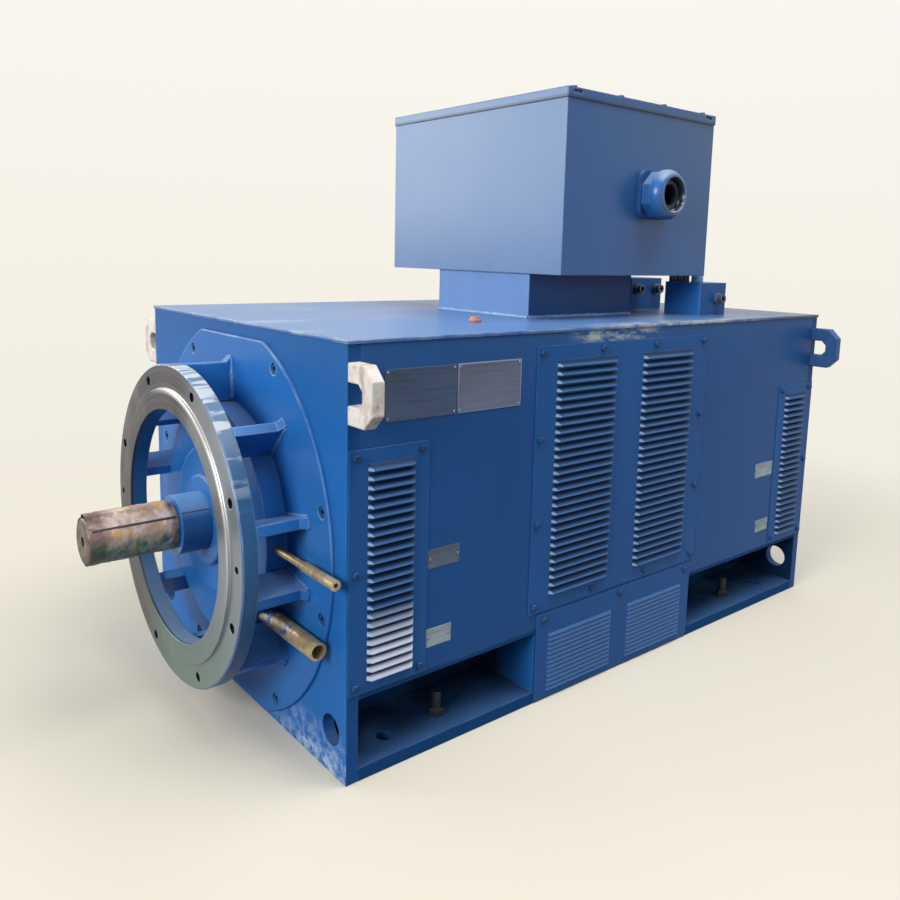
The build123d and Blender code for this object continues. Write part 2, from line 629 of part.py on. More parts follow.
def rear_ball_set():
    x = REAR_BEARING_X + REAR_BEARING_WIDTH / 2
    pitch = (REAR_OUTER_RING + REAR_INNER_RING) / 4
    half = REAR_BEARING_WIDTH / 2 - 1.0
    cage = tube_x(pitch + CAGE_THICKNESS / 2, pitch - CAGE_THICKNESS / 2, x - half, x + half)
    half_ball = RegularPolygon(BALL / 2, BALL_SIDES) & Pos(0, BALL / 2) * Rectangle(BALL, BALL)
    ball = revolve(half_ball, Axis.X)
    opening = RegularPolygon(BALL / 2 + CAGE_CLEARANCE, BALL_SIDES, major_radius=False)
    window = extrude(opening, CAGE_THICKNESS, both=True)
    pocket = Pos(x, -pitch, SHAFT_HEIGHT) * Rot(90, 0, 0) * window
    balls, pockets = [], []
    for step in range(REAR_BALLS):
        y, z = polar(pitch, step * 360 / REAR_BALLS)
        balls.append(Pos(x, y, z) * ball)
        pockets.append(pocket.rotate(SHAFT_AXIS, -step * 360 / REAR_BALLS))
    return Compound([cage - pockets] + balls)


# Bearing caps
def outer_cap(face, thickness, radius, spigot, spigot_to, bore):
    """A cap that lies on the hub face, with a spigot that holds the bearing's outer ring."""
    cap = rod_x(radius, face - thickness, face) + rod_x(spigot, face, spigot_to)
    return cap - rod_x(bore, face - thickness, spigot_to)


def drive_outer_cap():
    return outer_cap(HUB_FACE, CAP_THICKNESS, CAP_RADIUS, DRIVE_BEARING_OD / 2 - WELD_GAP,
                     DRIVE_BEARING_X - WELD_GAP, COLLAR / 2 + CAP_CLEARANCE + 22.0)


def drive_inner_cap():
    face = DRIVE_FACE + SPIGOT_DEPTH
    spigot_from = DRIVE_BEARING_X + DRIVE_BEARING_WIDTH + WELD_GAP
    cap = rod_x(INNER_CAP_RADIUS, face, face + INNER_CAP_THICKNESS)
    cap += rod_x(DRIVE_BEARING_OD / 2 - WELD_GAP, spigot_from, face)
    cap -= rod_x(DRIVE_INNER_RACE / 2 + RACE_LIP, spigot_from, face - INNER_CAP_THICKNESS)
    return cap - rod_x(DRIVE_SHOULDER / 2 + CAP_CLEARANCE, spigot_from, face + INNER_CAP_THICKNESS)


def rear_inner_cap():
    face = REAR_FACE - SPIGOT_DEPTH
    spigot_to = REAR_BEARING_X - WELD_GAP
    cap = rod_x(INNER_CAP_RADIUS, face - INNER_CAP_THICKNESS, face)
    cap += rod_x(REAR_BEARING_OD / 2 - WELD_GAP, face, spigot_to)
    cap -= rod_x(REAR_INNER_RING / 2 + RACE_LIP, face + INNER_CAP_THICKNESS, spigot_to)
    return cap - rod_x(REAR_SHOULDER / 2 + CAP_CLEARANCE, face - INNER_CAP_THICKNESS, spigot_to)


def rear_outer_cap():
    face = REAR_HUB_FACE
    spigot_from = REAR_BEARING_X + REAR_BEARING_WIDTH + WELD_GAP
    cap = rod_x(REAR_CAP_RADIUS, face, face + REAR_CAP_THICKNESS)
    cap += rod_x(REAR_BEARING_OD / 2 - WELD_GAP, spigot_from, face)
    return cap - rod_x(REAR_OUTER_RING / 2, spigot_from, face)


def shaft_seal():
    """A turning flinger ring that covers the gap in the outer cap."""
    gap_ring = COLLAR / 2 + SEAT_GAP
    back = HUB_FACE - CAP_THICKNESS - SEAL_GAP
    front = back - SEAL_WIDTH
    sleeve = COLLAR / 2 + 14.0
    return turned([(front, gap_ring), (front, SEAL_RADIUS - 4), (front + 4, SEAL_RADIUS),
                   (back, SEAL_RADIUS), (back, sleeve), (HUB_FACE - WELD_GAP, sleeve),
                   (HUB_FACE - WELD_GAP, gap_ring)])


# Grease pipes, open at their outer ends
def grease_inlet():
    start = -DRIVE_BEARING_OD / 2 - 6.0
    pipe = rod_y(GREASE_IN / 2, -GREASE_IN_TIP, start, GREASE_X, GREASE_IN_HEIGHT)
    pipe += rod_y(GREASE_IN_SLEEVE / 2, -GREASE_IN_TIP, -GREASE_IN_TIP + GREASE_IN_SLEEVE_LENGTH,
                  GREASE_X, GREASE_IN_HEIGHT)
    return pipe - rod_y(GREASE_IN / 2 - PIPE_BORE_WALL, -GREASE_IN_TIP, start, GREASE_X, GREASE_IN_HEIGHT)


def grease_outlet():
    pipe = rod_y(GREASE_OUT / 2, -GREASE_OUT_TIP, -DRIVE_BEARING_OD / 2 + 30.0, GREASE_X, GREASE_OUT_HEIGHT)
    pipe -= rod_y(GREASE_OUT / 2 - GREASE_OUT_WALL, -GREASE_OUT_TIP, 0, GREASE_X, GREASE_OUT_HEIGHT)
    return pipe


# Stator
def stator_core():
    half = CORE_LENGTH / 2
    core = tube_x(STATOR_OUTER, STATOR_BORE, -half, half)
    slots = [radial_plate(-half, half, STATOR_BORE - 5, STATOR_BORE + SLOT_DEPTH, SLOT_WIDTH,
                          (step + 0.5) * 360 / STATOR_SLOTS) for step in range(STATOR_SLOTS)]
    return core - slots


def stator_winding():
    half = CORE_LENGTH / 2
    inner, outer = STATOR_BORE + 6, STATOR_BORE + SLOT_DEPTH - SLOT_CLEARANCE
    reach = half + END_TURN_GAP + 10
    bars = [radial_plate(-reach, reach, inner, outer, SLOT_WIDTH - 2 * SLOT_CLEARANCE,
                         (step + 0.5) * 360 / STATOR_SLOTS) for step in range(STATOR_SLOTS)]
    near, far = half + END_TURN_GAP, half + END_TURN
    head = [(near, inner - 2), (near, outer + 2), (far - 20, outer + 16), (far, outer + 6),
            (far, inner + 8), (far - 20, inner + 2)]
    turns = turned(head)
    return turns + other_end(turns) + bars


def stator_supports():
    """Two bulkheads that carry the core in the frame."""
    half = SUPPORT_THICKNESS / 2
    middle = (DRIVE_FOOT_END + REAR_FOOT_END) / 2
    plates = []
    for side in (-1, 1):
        x = middle + side * SUPPORT_POSITION
        plate = block(x - half, x + half, -SKIN_INNER + WELD_GAP, SKIN_INNER - WELD_GAP,
                      FLOOR, ROOF_UNDER)
        plates.append(plate - rod_x(STATOR_OUTER + WELD_GAP, x - half, x + half))
    return Compound(plates)


def air_baffles():
    """Sheets that lead the cooling air through the fans."""
    plates = []
    for side in (-1, 1):
        x0 = side * BAFFLE_POSITION - BAFFLE_THICKNESS / 2
        x1 = x0 + BAFFLE_THICKNESS
        plate = block(x0, x1, -SKIN_INNER + WELD_GAP, SKIN_INNER - WELD_GAP, FOOT_TOP, ROOF_UNDER)
        plate += block(x0, x1, -FOOT_INNER + WELD_GAP, FOOT_INNER - WELD_GAP, FLOOR, FOOT_TOP)
        plates.append(plate - rod_x(BAFFLE_HOLE, x0, x1))
    return Compound(plates)


# Rotor
def shaft():
    tip = FLANGE_PLANE - SHAFT_END_LENGTH
    seat_from, seat_to = HUB_FACE + 2.0, DRIVE_BEARING_X + DRIVE_BEARING_WIDTH
    rear_from = REAR_BEARING_X
    rear_to = REAR_HUB_FACE - WELD_GAP - 6.0
    end, half = SHAFT_END / 2, CORE_LENGTH / 2
    rear_shoulder_to = REAR_FACE - SPIGOT_DEPTH - INNER_CAP_THICKNESS - 20.0
    drive_shoulder_from = DRIVE_FACE + SPIGOT_DEPTH + INNER_CAP_THICKNESS + 20.0
    body = turned([(tip, 0), (tip, end - 4), (tip + 4, end), (FLANGE_PLANE, end),
                   (FLANGE_PLANE, COLLAR / 2), (seat_from, COLLAR / 2), (seat_from, DRIVE_SEAT / 2),
                   (seat_to, DRIVE_SEAT / 2), (seat_to, DRIVE_SHOULDER / 2),
                   (drive_shoulder_from, DRIVE_SHOULDER / 2), (drive_shoulder_from, SHAFT_BODY / 2),
                   (-half - 40, SHAFT_BODY / 2), (-half - 40, CORE_SEAT / 2), (half + 40, CORE_SEAT / 2),
                   (half + 40, SHAFT_BODY / 2), (rear_shoulder_to, SHAFT_BODY / 2),
                   (rear_shoulder_to, REAR_SHOULDER / 2), (rear_from, REAR_SHOULDER / 2),
                   (rear_from, REAR_SEAT / 2), (rear_to, REAR_SEAT / 2), (rear_to, 0)])
    body -= rod_x(CENTRE_HOLE / 2, tip, tip + 2 * CENTRE_HOLE)
    return body - key_shape(KEY_WIDTH, end - KEY_DEPTH, end + KEY_HEIGHT)


def key_shape(width, low, high):
    """The round-ended key or its seat, on top of the shaft end."""
    tip = FLANGE_PLANE - SHAFT_END_LENGTH
    x0 = tip + (SHAFT_END_LENGTH - KEY_LENGTH) / 2
    plan = SlotOverall(KEY_LENGTH, width)
    return Pos(x0 + KEY_LENGTH / 2, 0, SHAFT_HEIGHT + low) * extrude(plan, high - low)


def shaft_key():
    low = SHAFT_END / 2 - KEY_DEPTH
    return key_shape(KEY_WIDTH, low, low + KEY_HEIGHT)


def bar_angles():
    return [step * 360 / ROTOR_BARS for step in range(ROTOR_BARS)]


def rotor_core():
    half = CORE_LENGTH / 2
    core = tube_x(ROTOR_OUTER, CORE_SEAT / 2 + SEAT_GAP, -half, half)
    outer = ROTOR_OUTER - BAR_BELOW_SURFACE
    holes = [radial_plate(-half, half, outer - BAR_DEPTH, outer, BAR_WIDTH, angle) for angle in bar_angles()]
    for step in range(VENT_HOLES):
        y, z = polar(VENT_RADIUS, step * 360 / VENT_HOLES)
        holes.append(rod_x(VENT_HOLE / 2, -half, half, y, z))
    return core - holes


def rotor_cage():
    half = CORE_LENGTH / 2
    outer = ROTOR_OUTER - BAR_BELOW_SURFACE - SLOT_CLEARANCE
    inner = outer - BAR_DEPTH + 2 * SLOT_CLEARANCE
    reach = half + CAGE_RING_GAP + CAGE_RING_WIDTH / 2
    bars = [radial_plate(-reach, reach, inner, outer, BAR_WIDTH - 2 * SLOT_CLEARANCE, angle)
            for angle in bar_angles()]
    ring = tube_x(outer + 2, inner - 8, half + CAGE_RING_GAP, half + CAGE_RING_GAP + CAGE_RING_WIDTH)
    return ring + other_end(ring) + bars


def cooling_fans():
    """A bladed wheel at each end of the rotor."""
    x0, x1 = -FAN_POSITION - FAN_WIDTH / 2, -FAN_POSITION + FAN_WIDTH / 2
    wheel = tube_x(FAN_HUB_RADIUS, SHAFT_BODY / 2 + SEAT_GAP, x0, x1)
    wheel += tube_x(FAN_RADIUS, FAN_HUB_RADIUS - 1, x1 - FAN_PLATE, x1)
    wheel += [radial_plate(x0, x1 - 1, FAN_HUB_RADIUS - 3, FAN_RADIUS - 5, FAN_PLATE, step * 360 / FAN_BLADES)
              for step in range(FAN_BLADES)]
    return Compound([wheel, other_end(wheel)])


# Terminal box
BOX_FROM_X = BOX_CENTRE_X - BOX_LENGTH / 2
BOX_TO_X = BOX_CENTRE_X + BOX_LENGTH / 2
BOX_FLOOR = HOUSING_HEIGHT + NECK_HEIGHT
BOX_TOP = BOX_FLOOR + BOX_HEIGHT
NECK_SIDES = (NECK_CENTRE_X - NECK_LENGTH / 2, NECK_CENTRE_X + NECK_LENGTH / 2,
              NECK_CENTRE_Y - NECK_WIDTH / 2, NECK_CENTRE_Y + NECK_WIDTH / 2)


def inset(sides, wall):
    """Four side positions moved inwards by a wall."""
    x0, x1, y0, y1 = sides
    return x0 + wall, x1 - wall, y0 + wall, y1 - wall


def terminal_neck():
    outer = block(*NECK_SIDES, HOUSING_HEIGHT, BOX_FLOOR)
    return outer - block(*inset(NECK_SIDES, BOX_WALL), HOUSING_HEIGHT, BOX_FLOOR)


def terminal_box():
    sides = (BOX_FROM_X, BOX_TO_X, -BOX_WIDTH / 2, BOX_WIDTH / 2)
    box = block(*sides, BOX_FLOOR, BOX_TOP)
    box -= block(*inset(sides, BOX_WALL), BOX_FLOOR + BOX_WALL, BOX_TOP - BOX_WALL)
    box -= block(*inset(sides, BOX_RIM), BOX_TOP - BOX_WALL, BOX_TOP)
    box -= block(*inset(NECK_SIDES, 2 * BOX_WALL), BOX_FLOOR, BOX_FLOOR + BOX_WALL)
    return box - rod_y(GLAND_BORE / 2, -BOX_WIDTH / 2, -BOX_WIDTH / 2 + BOX_WALL, GLAND_X, GLAND_HEIGHT)


def terminal_gasket():
    sides = (BOX_FROM_X, BOX_TO_X, -BOX_WIDTH / 2, BOX_WIDTH / 2)
    outer = block(*inset(sides, 2), BOX_TOP, BOX_TOP + GASKET)
    return outer - block(*inset(sides, BOX_RIM), BOX_TOP, BOX_TOP + GASKET)


def terminal_lid():
    """A folded tray whose skirt hangs just outside the box, notched at its fixing points."""
    side = LID_OVERHANG
    sides = (BOX_FROM_X - side, BOX_TO_X + side, -BOX_WIDTH / 2 - side, BOX_WIDTH / 2 + side)
    under = BOX_TOP + GASKET
    top = under + LID_SHEET
    lid = block(*sides, top - LID_HEIGHT, top)
    lid = fillet(lid.edges().filter_by(Axis.Z), LID_OVERHANG)
    lid -= block(*inset(sides, side - WELD_GAP), top - LID_HEIGHT, under)
    half = LID_NOTCH_LENGTH / 2
    for x in (BOX_FROM_X + LID_NOTCH_LENGTH, BOX_TO_X - LID_NOTCH_LENGTH):
        lid -= block(x - half, x + half, sides[2], sides[2] + side, top - 14, top - 6)
        lid -= block(x - half, x + half, sides[3] - side, sides[3], top - 14, top - 6)
    return lid


def lid_bolts():
    """Hexagon heads along the long edges of the lid."""
    head = extrude(RegularPolygon(LID_BOLT * 0.85, 6), LID_BOLT * 0.65)
    z = BOX_TOP + GASKET + LID_SHEET
    bolts = []
    for step in range(LID_BOLTS_ALONG):
        x = BOX_FROM_X + BOX_RIM + (BOX_LENGTH - 2 * BOX_RIM) * step / (LID_BOLTS_ALONG - 1)
        for side in (-1, 1):
            bolts.append(Pos(x, side * (BOX_WIDTH / 2 - BOX_RIM / 2), z) * head)
    return Compound(bolts)


def terminal_insulators():
    """Three ribbed insulators with their studs, on the floor of the box."""
    base = BOX_FLOOR + BOX_WALL
    radii = (INSULATOR_RADIUS, INSULATOR_WAIST) * 3
    shapes = []
    for step in (-1, 0, 1):
        x, y = BOX_TO_X - INSULATOR_INSET, step * INSULATOR_SPACING
        level = INSULATOR_HEIGHT / len(radii)
        post = rod_z(INSULATOR_STUD, base, base + INSULATOR_HEIGHT + INSULATOR_STUD_PROUD, x, y)
        for index, radius in enumerate(radii):
            post += rod_z(radius, base + index * level, base + (index + 1) * level, x, y)
        shapes.append(post)
    return Compound(shapes)


# Main cable gland on the right-hand wall of the box
GLAND_WALL = -BOX_WIDTH / 2


def gland_body():
    base = extrude(RectangleRounded(GLAND_BASE, GLAND_BASE, GLAND_BASE * 0.2), GLAND_BASE_LENGTH)
    body = Pos(GLAND_X, GLAND_WALL, GLAND_HEIGHT) * Rot(90, 0, 0) * base
    front = GLAND_WALL - GLAND_BASE_LENGTH
    body += rod_y(GLAND_BODY / 2, front - GLAND_BODY_LENGTH, front, GLAND_X, GLAND_HEIGHT)
    body += rod_y(GLAND_BORE / 2 - WELD_GAP, GLAND_WALL, GLAND_WALL + 2 * BOX_WALL, GLAND_X, GLAND_HEIGHT)
    return body - rod_y(GLAND_MOUTH / 2, front - GLAND_BODY_LENGTH, GLAND_WALL + 2 * BOX_WALL,
                        GLAND_X, GLAND_HEIGHT)


def gland_nut():
    """The domed clamping nut."""
    back = GLAND_WALL - GLAND_BASE_LENGTH - GLAND_BODY_LENGTH
    radius, mouth, length = GLAND_NUT / 2, GLAND_MOUTH / 2, GLAND_NUT_LENGTH
    dome = radius - mouth
    outline = Polyline((mouth, 0), (radius, 0), (radius, length * 0.5), (radius - dome * 0.2, length * 0.78),
                       (radius - dome * 0.55, length * 0.95), (mouth + dome * 0.2, length), (mouth, length),
                       close=True)
    nut = revolve(Plane.XZ * make_face(outline), Axis.Z)
    return Pos(GLAND_X, back, GLAND_HEIGHT) * Rot(90, 0, 0) * nut


def gland_seal():
    back = GLAND_WALL - GLAND_BASE_LENGTH - GLAND_BODY_LENGTH
    front = back - GLAND_NUT_LENGTH / 2
    outer = rod_y(GLAND_MOUTH / 2 - WELD_GAP, front, back, GLAND_X, GLAND_HEIGHT)
    return outer - rod_y(GLAND_MOUTH / 2 - GLAND_SEAL_WALL, front, back, GLAND_X, GLAND_HEIGHT)


# Small lead boxes and their glands
def lead_box(place, size):
    x, y = place
    length, width, height = size
    sides = (x - length / 2, x + length / 2, y - width / 2, y + width / 2)
    box = block(*sides, HOUSING_HEIGHT, HOUSING_HEIGHT + height)
    box = fillet(box.edges().filter_by(Axis.Z), 4)
    return box - block(*inset(sides, 4), HOUSING_HEIGHT + 4, HOUSING_HEIGHT + height - 4)


def small_gland(x, y, z):
    """A small gland that stands out to -Y: a flange with a round nut on it."""
    collar = rod_y(SMALL_GLAND / 2, y - SMALL_GLAND_LENGTH, y, x, z)
    collar += rod_y(SMALL_GLAND_FLANGE / 2, y - SMALL_GLAND_LENGTH / 3, y, x, z)
    return collar - rod_y(SMALL_GLAND_BORE / 2, y - SMALL_GLAND_LENGTH, y, x, z)


def small_glands():
    heater_wall = HEATER_BOX_PLACE[1] - HEATER_BOX[1] / 2
    sensor_wall = SENSOR_BOX_PLACE[1] - SENSOR_BOX[1] / 2
    x, z = HEATER_BOX_PLACE[0], HOUSING_HEIGHT + HEATER_BOX[2] * 0.65
    glands = [small_gland(x + offset, heater_wall, z) for offset in HEATER_GLAND_OFFSETS]
    sensor_x, sensor_z = SENSOR_BOX_PLACE[0] + SENSOR_GLAND_OFFSET, HOUSING_HEIGHT + SENSOR_BOX[2] / 2
    glands.append(small_gland(sensor_x, sensor_wall, sensor_z))
    return Compound(glands)


# Frame
save("front_end_plate", end_plate())
save("rear_end_plate", other_end(end_plate()))
save("roof_plate", roof_plate())
save("floor_plate", floor_plate())
drive_foot = foot(DRIVE_INNER, DRIVE_FOOT_END, -FOOT_BOLT_SPACING_X / 2)
rear_foot = foot(REAR_INNER, REAR_FOOT_END, FOOT_BOLT_SPACING_X / 2)
save("drive_foot_right", drive_foot)
save("drive_foot_left", mirrored(drive_foot))
save("rear_foot_right", rear_foot)
save("rear_foot_left", mirrored(rear_foot))
screws = [jack_screw((DRIVE_INNER + DRIVE_FOOT_END) / 2), jack_screw((REAR_INNER + REAR_FOOT_END) / 2)]
save("jack_screws", Compound(screws + [mirrored(screw) for screw in screws]))
save("side_skin_right", side_skin())
save("side_skin_left", mirrored(side_skin()))

# Screwed covers
drive_cover = end_cover()
rear_cover = other_end(drive_cover)
save("drive_louvre_cover_right", drive_cover)
save("drive_louvre_cover_left", mirrored(drive_cover))
save("rear_louvre_cover_right", rear_cover)
save("rear_louvre_cover_left", mirrored(rear_cover))
middle_cover = centre_cover()
save("centre_cover_right", middle_cover)
save("centre_cover_left", mirrored(middle_cover))
save("lower_panel_right", lower_panel())
save("lower_panel_left", mirrored(lower_panel()))
save("cover_screws", cover_screws())
front_lug = lug()
lugs = [front_lug, other_end(front_lug)]
save("lifting_lugs", Compound(lugs + [mirrored(piece) for piece in lugs]))

# Shields, flange and bearings
save("drive_end_shield", drive_shield())
save("rear_end_shield", rear_shield())
save("shield_bolts", shield_bolts())
save("flange_ring", flange_ring())
save("flange_ribs", flange_ribs())
save("drive_bearing_outer_ring", drive_outer_ring())
save("drive_bearing_roller_set", drive_roller_set())
save("drive_bearing_inner_ring", tube_x(DRIVE_INNER_RACE / 2, DRIVE_SEAT / 2 + SEAT_GAP, DRIVE_BEARING_X,
                                        DRIVE_BEARING_X + DRIVE_BEARING_WIDTH))
save("drive_outer_bearing_cap", drive_outer_cap())
save("drive_inner_bearing_cap", drive_inner_cap())
save("shaft_seal", shaft_seal())
rear_bearing_end = REAR_BEARING_X + REAR_BEARING_WIDTH
save("rear_bearing_outer_ring", tube_x(REAR_BEARING_OD / 2, REAR_OUTER_RING / 2, REAR_BEARING_X,
                                       rear_bearing_end) - rear_groove())
save("rear_bearing_ball_set", rear_ball_set())
save("rear_bearing_inner_ring", tube_x(REAR_INNER_RING / 2, REAR_SEAT / 2 + SEAT_GAP, REAR_BEARING_X,
                                       rear_bearing_end) - rear_groove())
save("rear_outer_bearing_cap", rear_outer_cap())
save("rear_inner_bearing_cap", rear_inner_cap())
save("grease_inlet_pipe", grease_inlet())
save("grease_outlet_pipe", grease_outlet())

# Stator and rotor
save("stator_core", stator_core())
save("stator_winding", stator_winding())
save("stator_supports", stator_supports())
save("air_baffles", air_baffles())
save("shaft", shaft())
save("shaft_key", shaft_key())
save("rotor_core", rotor_core())
save("rotor_cage", rotor_cage())
save("cooling_fans", cooling_fans())

# Terminal box
save("terminal_box_neck", terminal_neck())
save("terminal_box", terminal_box())
save("terminal_box_gasket", terminal_gasket())
save("terminal_box_lid", terminal_lid())
save("lid_bolts", lid_bolts())
save("terminal_insulators", terminal_insulators())
save("main_gland_body", gland_body())
save("main_gland_nut", gland_nut())
save("main_gland_seal", gland_seal())
save("sensor_lead_box", lead_box(SENSOR_BOX_PLACE, SENSOR_BOX))
save("heater_lead_box", lead_box(HEATER_BOX_PLACE, HEATER_BOX))
save("lead_box_glands", small_glands())
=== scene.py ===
import math
import bpy
from mathutils import Matrix, Vector


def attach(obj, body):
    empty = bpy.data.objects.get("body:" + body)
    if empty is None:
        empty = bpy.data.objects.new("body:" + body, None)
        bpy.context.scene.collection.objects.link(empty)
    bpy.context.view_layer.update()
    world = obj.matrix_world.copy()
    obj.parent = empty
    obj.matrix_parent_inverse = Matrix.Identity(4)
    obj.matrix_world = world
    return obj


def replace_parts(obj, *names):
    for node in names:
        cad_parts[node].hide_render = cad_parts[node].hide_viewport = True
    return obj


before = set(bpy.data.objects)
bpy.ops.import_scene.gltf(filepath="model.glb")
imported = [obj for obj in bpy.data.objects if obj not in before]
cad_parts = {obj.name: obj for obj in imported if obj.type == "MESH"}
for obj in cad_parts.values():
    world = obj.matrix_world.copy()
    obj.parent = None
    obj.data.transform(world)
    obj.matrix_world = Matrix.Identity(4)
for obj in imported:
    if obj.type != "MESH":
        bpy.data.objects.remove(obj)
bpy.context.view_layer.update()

# Studio: a pale floor that fades into a cream backdrop, soft panels round the motor, and the
# camera that took the photograph. None of it belongs to the motor.
world = bpy.data.worlds.new("cream_backdrop")
bpy.context.scene.world = world
world.use_nodes = True
BACKDROP_TOP = (0.956, 0.930, 0.871, 1.0)
BACKDROP_FOOT = (0.815, 0.768, 0.645, 1.0)
ROOM_LIGHT = (0.86, 0.92, 1.0, 1.0)


def put(tree, kind, values=None, **settings):
    """Adds a node. Its settings come by name, its sockets as numbers or as links."""
    node = tree.nodes.new(kind)
    for name, value in settings.items():
        setattr(node, name, value)
    for socket, value in (values or {}).items():
        if isinstance(value, bpy.types.NodeSocket):
            tree.links.new(value, node.inputs[socket])
        else:
            node.inputs[socket].default_value = value
    return node


def spread(tree, value, low, high, to_low=0.0, to_high=1.0):
    """A number carried from one range to another, and held there."""
    return put(tree, "ShaderNodeMapRange", {"Value": value, "From Min": low, "From Max": high,
                                            "To Min": to_low, "To Max": to_high}).outputs["Result"]


def blend(tree, amount, first, second):
    """Two colours mixed by an amount."""
    return put(tree, "ShaderNodeMix", {"Factor": amount, "A": first, "B": second},
               data_type="RGBA").outputs["Result"]


def direct_rays(tree):
    """One for rays from the camera, off a mirror or through glass, and nought for the rest."""
    rays = put(tree, "ShaderNodeLightPath").outputs
    seen = put(tree, "ShaderNodeMath", {0: rays["Is Camera Ray"], 1: rays["Is Glossy Ray"]},
               operation="MAXIMUM").outputs[0]
    return put(tree, "ShaderNodeMath", {0: seen, 1: rays["Is Transmission Ray"]},
               operation="MAXIMUM").outputs[0]


tree = world.node_tree
tree.nodes.clear()
direction = put(tree, "ShaderNodeTexCoord").outputs["Generated"]
height = put(tree, "ShaderNodeSeparateXYZ", {"Vector": direction}).outputs["Z"]
sky = blend(tree, spread(tree, height, -0.65, 0.27), BACKDROP_FOOT, BACKDROP_TOP)
above_horizon = spread(tree, height, -0.08, 0.25, 0.10, 0.50)
room = put(tree, "ShaderNodeBackground", {"Color": ROOM_LIGHT, "Strength": above_horizon})
shown = put(tree, "ShaderNodeBackground", {"Color": sky, "Strength": 1.0})
mixed = put(tree, "ShaderNodeMixShader", {0: direct_rays(tree), 1: room.outputs[0], 2: shown.outputs[0]})
put(tree, "ShaderNodeOutputWorld", {"Surface": mixed.outputs[0]})

FLOOR_RADIUS, FLOOR_DROP = 9.0, 0.001
FADE_FROM, FADE_TO = 1.5, 3.2
FLOOR_PALE = (0.70, 0.655, 0.545, 1.0)
FLOOR_LEFT = (0.60, 0.560, 0.466, 1.0)
FLOOR_BOUNCE = (0.16, 0.19, 0.24, 1.0)


def place_in(tree):
    """The point in Object coordinates, and its X, Y and Z."""
    where = put(tree, "ShaderNodeTexCoord").outputs["Object"]
    return where, put(tree, "ShaderNodeSeparateXYZ", {"Vector": where}).outputs


bpy.ops.object.select_all(action="DESELECT")
bpy.ops.mesh.primitive_circle_add(vertices=96, radius=FLOOR_RADIUS, fill_type="NGON",
                                  location=(0, 0, -FLOOR_DROP))
bpy.ops.object.transform_apply()
studio_floor = bpy.context.object
studio_floor.name = "studio_floor"
floor_material = bpy.data.materials.new("pale_floor")
floor_material.use_nodes = True
tree = floor_material.node_tree
tree.nodes.clear()
where, axes = place_in(tree)
reach = put(tree, "ShaderNodeVectorMath", {0: where}, operation="LENGTH").outputs["Value"]
fade = put(tree, "ShaderNodeMapRange", {"Value": reach, "From Min": FADE_FROM, "From Max": FADE_TO},
           interpolation_type="SMOOTHSTEP").outputs["Result"]
shown = blend(tree, spread(tree, axes["X"], -0.4, -1.4), FLOOR_PALE, FLOOR_LEFT)
lit = put(tree, "ShaderNodeBsdfDiffuse", {"Color": blend(tree, direct_rays(tree), FLOOR_BOUNCE, shown)})
clear = put(tree, "ShaderNodeBsdfTransparent")
mixed = put(tree, "ShaderNodeMixShader", {0: fade, 1: lit.outputs[0], 2: clear.outputs[0]})
put(tree, "ShaderNodeOutputMaterial", {"Surface": mixed.outputs[0]})
studio_floor.data.materials.append(floor_material)

bpy.context.scene.view_settings.view_transform = "Standard"


def lamp(name, place, target, size, watts, colour, mirrored=True):
    """A soft rectangular panel that faces its target, and may be left out of reflections."""
    bpy.ops.object.light_add(type="AREA", location=place)
    light = bpy.context.object
    light.name = name
    light.rotation_euler = (Vector(target) - Vector(place)).to_track_quat("-Z", "Y").to_euler()
    light.data.shape = "RECTANGLE"
    light.data.size, light.data.size_y = size
    light.data.energy = watts
    light.data.color = colour
    light.visible_glossy = mirrored


lamp("drive_end_panel", (-6.0, -1.6, 2.9), (-0.9, -0.2, 0.5), (2.6, 2.2), 260, (1.0, 0.98, 0.95))
lamp("overhead_panel", (0.4, -1.6, 5.2), (0.0, 0.0, 0.8), (3.4, 2.4), 190, (1.0, 1.0, 1.0))
lamp("back_left_panel", (-3.2, 3.6, 2.35), (-0.2, 0.0, 1.35), (3.6, 2.2), 120, (0.97, 0.99, 1.0))
lamp("front_right_panel", (4.6, -5.6, 2.6), (0.0, -0.5, 0.5), (1.6, 1.2), 60, (1.0, 0.99, 0.97), False)

# The camera was fitted to the photograph: lengths on it are in pixels.
PHOTO_SIDE = 900.0
SENSOR_WIDTH = 36.0
CAMERA_PLACE = (-1.8273, -1.9782, 1.1590)
FOCAL = 832.897
PRINCIPAL = (460.728, 376.877)
YAW, PITCH, ROLL = math.radians(39.615), math.radians(8.451), math.radians(1.441)
forward = Vector((math.sin(YAW) * math.cos(PITCH), math.cos(YAW) * math.cos(PITCH), -math.sin(PITCH)))
level = Vector((math.cos(YAW), -math.sin(YAW), 0.0))
upright = level.cross(forward)
right = math.cos(ROLL) * level + math.sin(ROLL) * upright
up = math.cos(ROLL) * upright - math.sin(ROLL) * level
bpy.ops.object.camera_add(location=(0, 0, 0))
camera = bpy.context.object
camera.name = "photo_camera"
turn = Matrix((right, up, -forward)).transposed().to_4x4()
camera.matrix_world = Matrix.Translation(CAMERA_PLACE) @ turn
camera.data.sensor_width = SENSOR_WIDTH
camera.data.lens = FOCAL * SENSOR_WIDTH / PHOTO_SIDE
camera.data.shift_x = 0.5 - PRINCIPAL[0] / PHOTO_SIDE
camera.data.shift_y = PRINCIPAL[1] / PHOTO_SIDE - 0.5
camera.data.clip_end = 100.0
bpy.context.scene.camera = camera

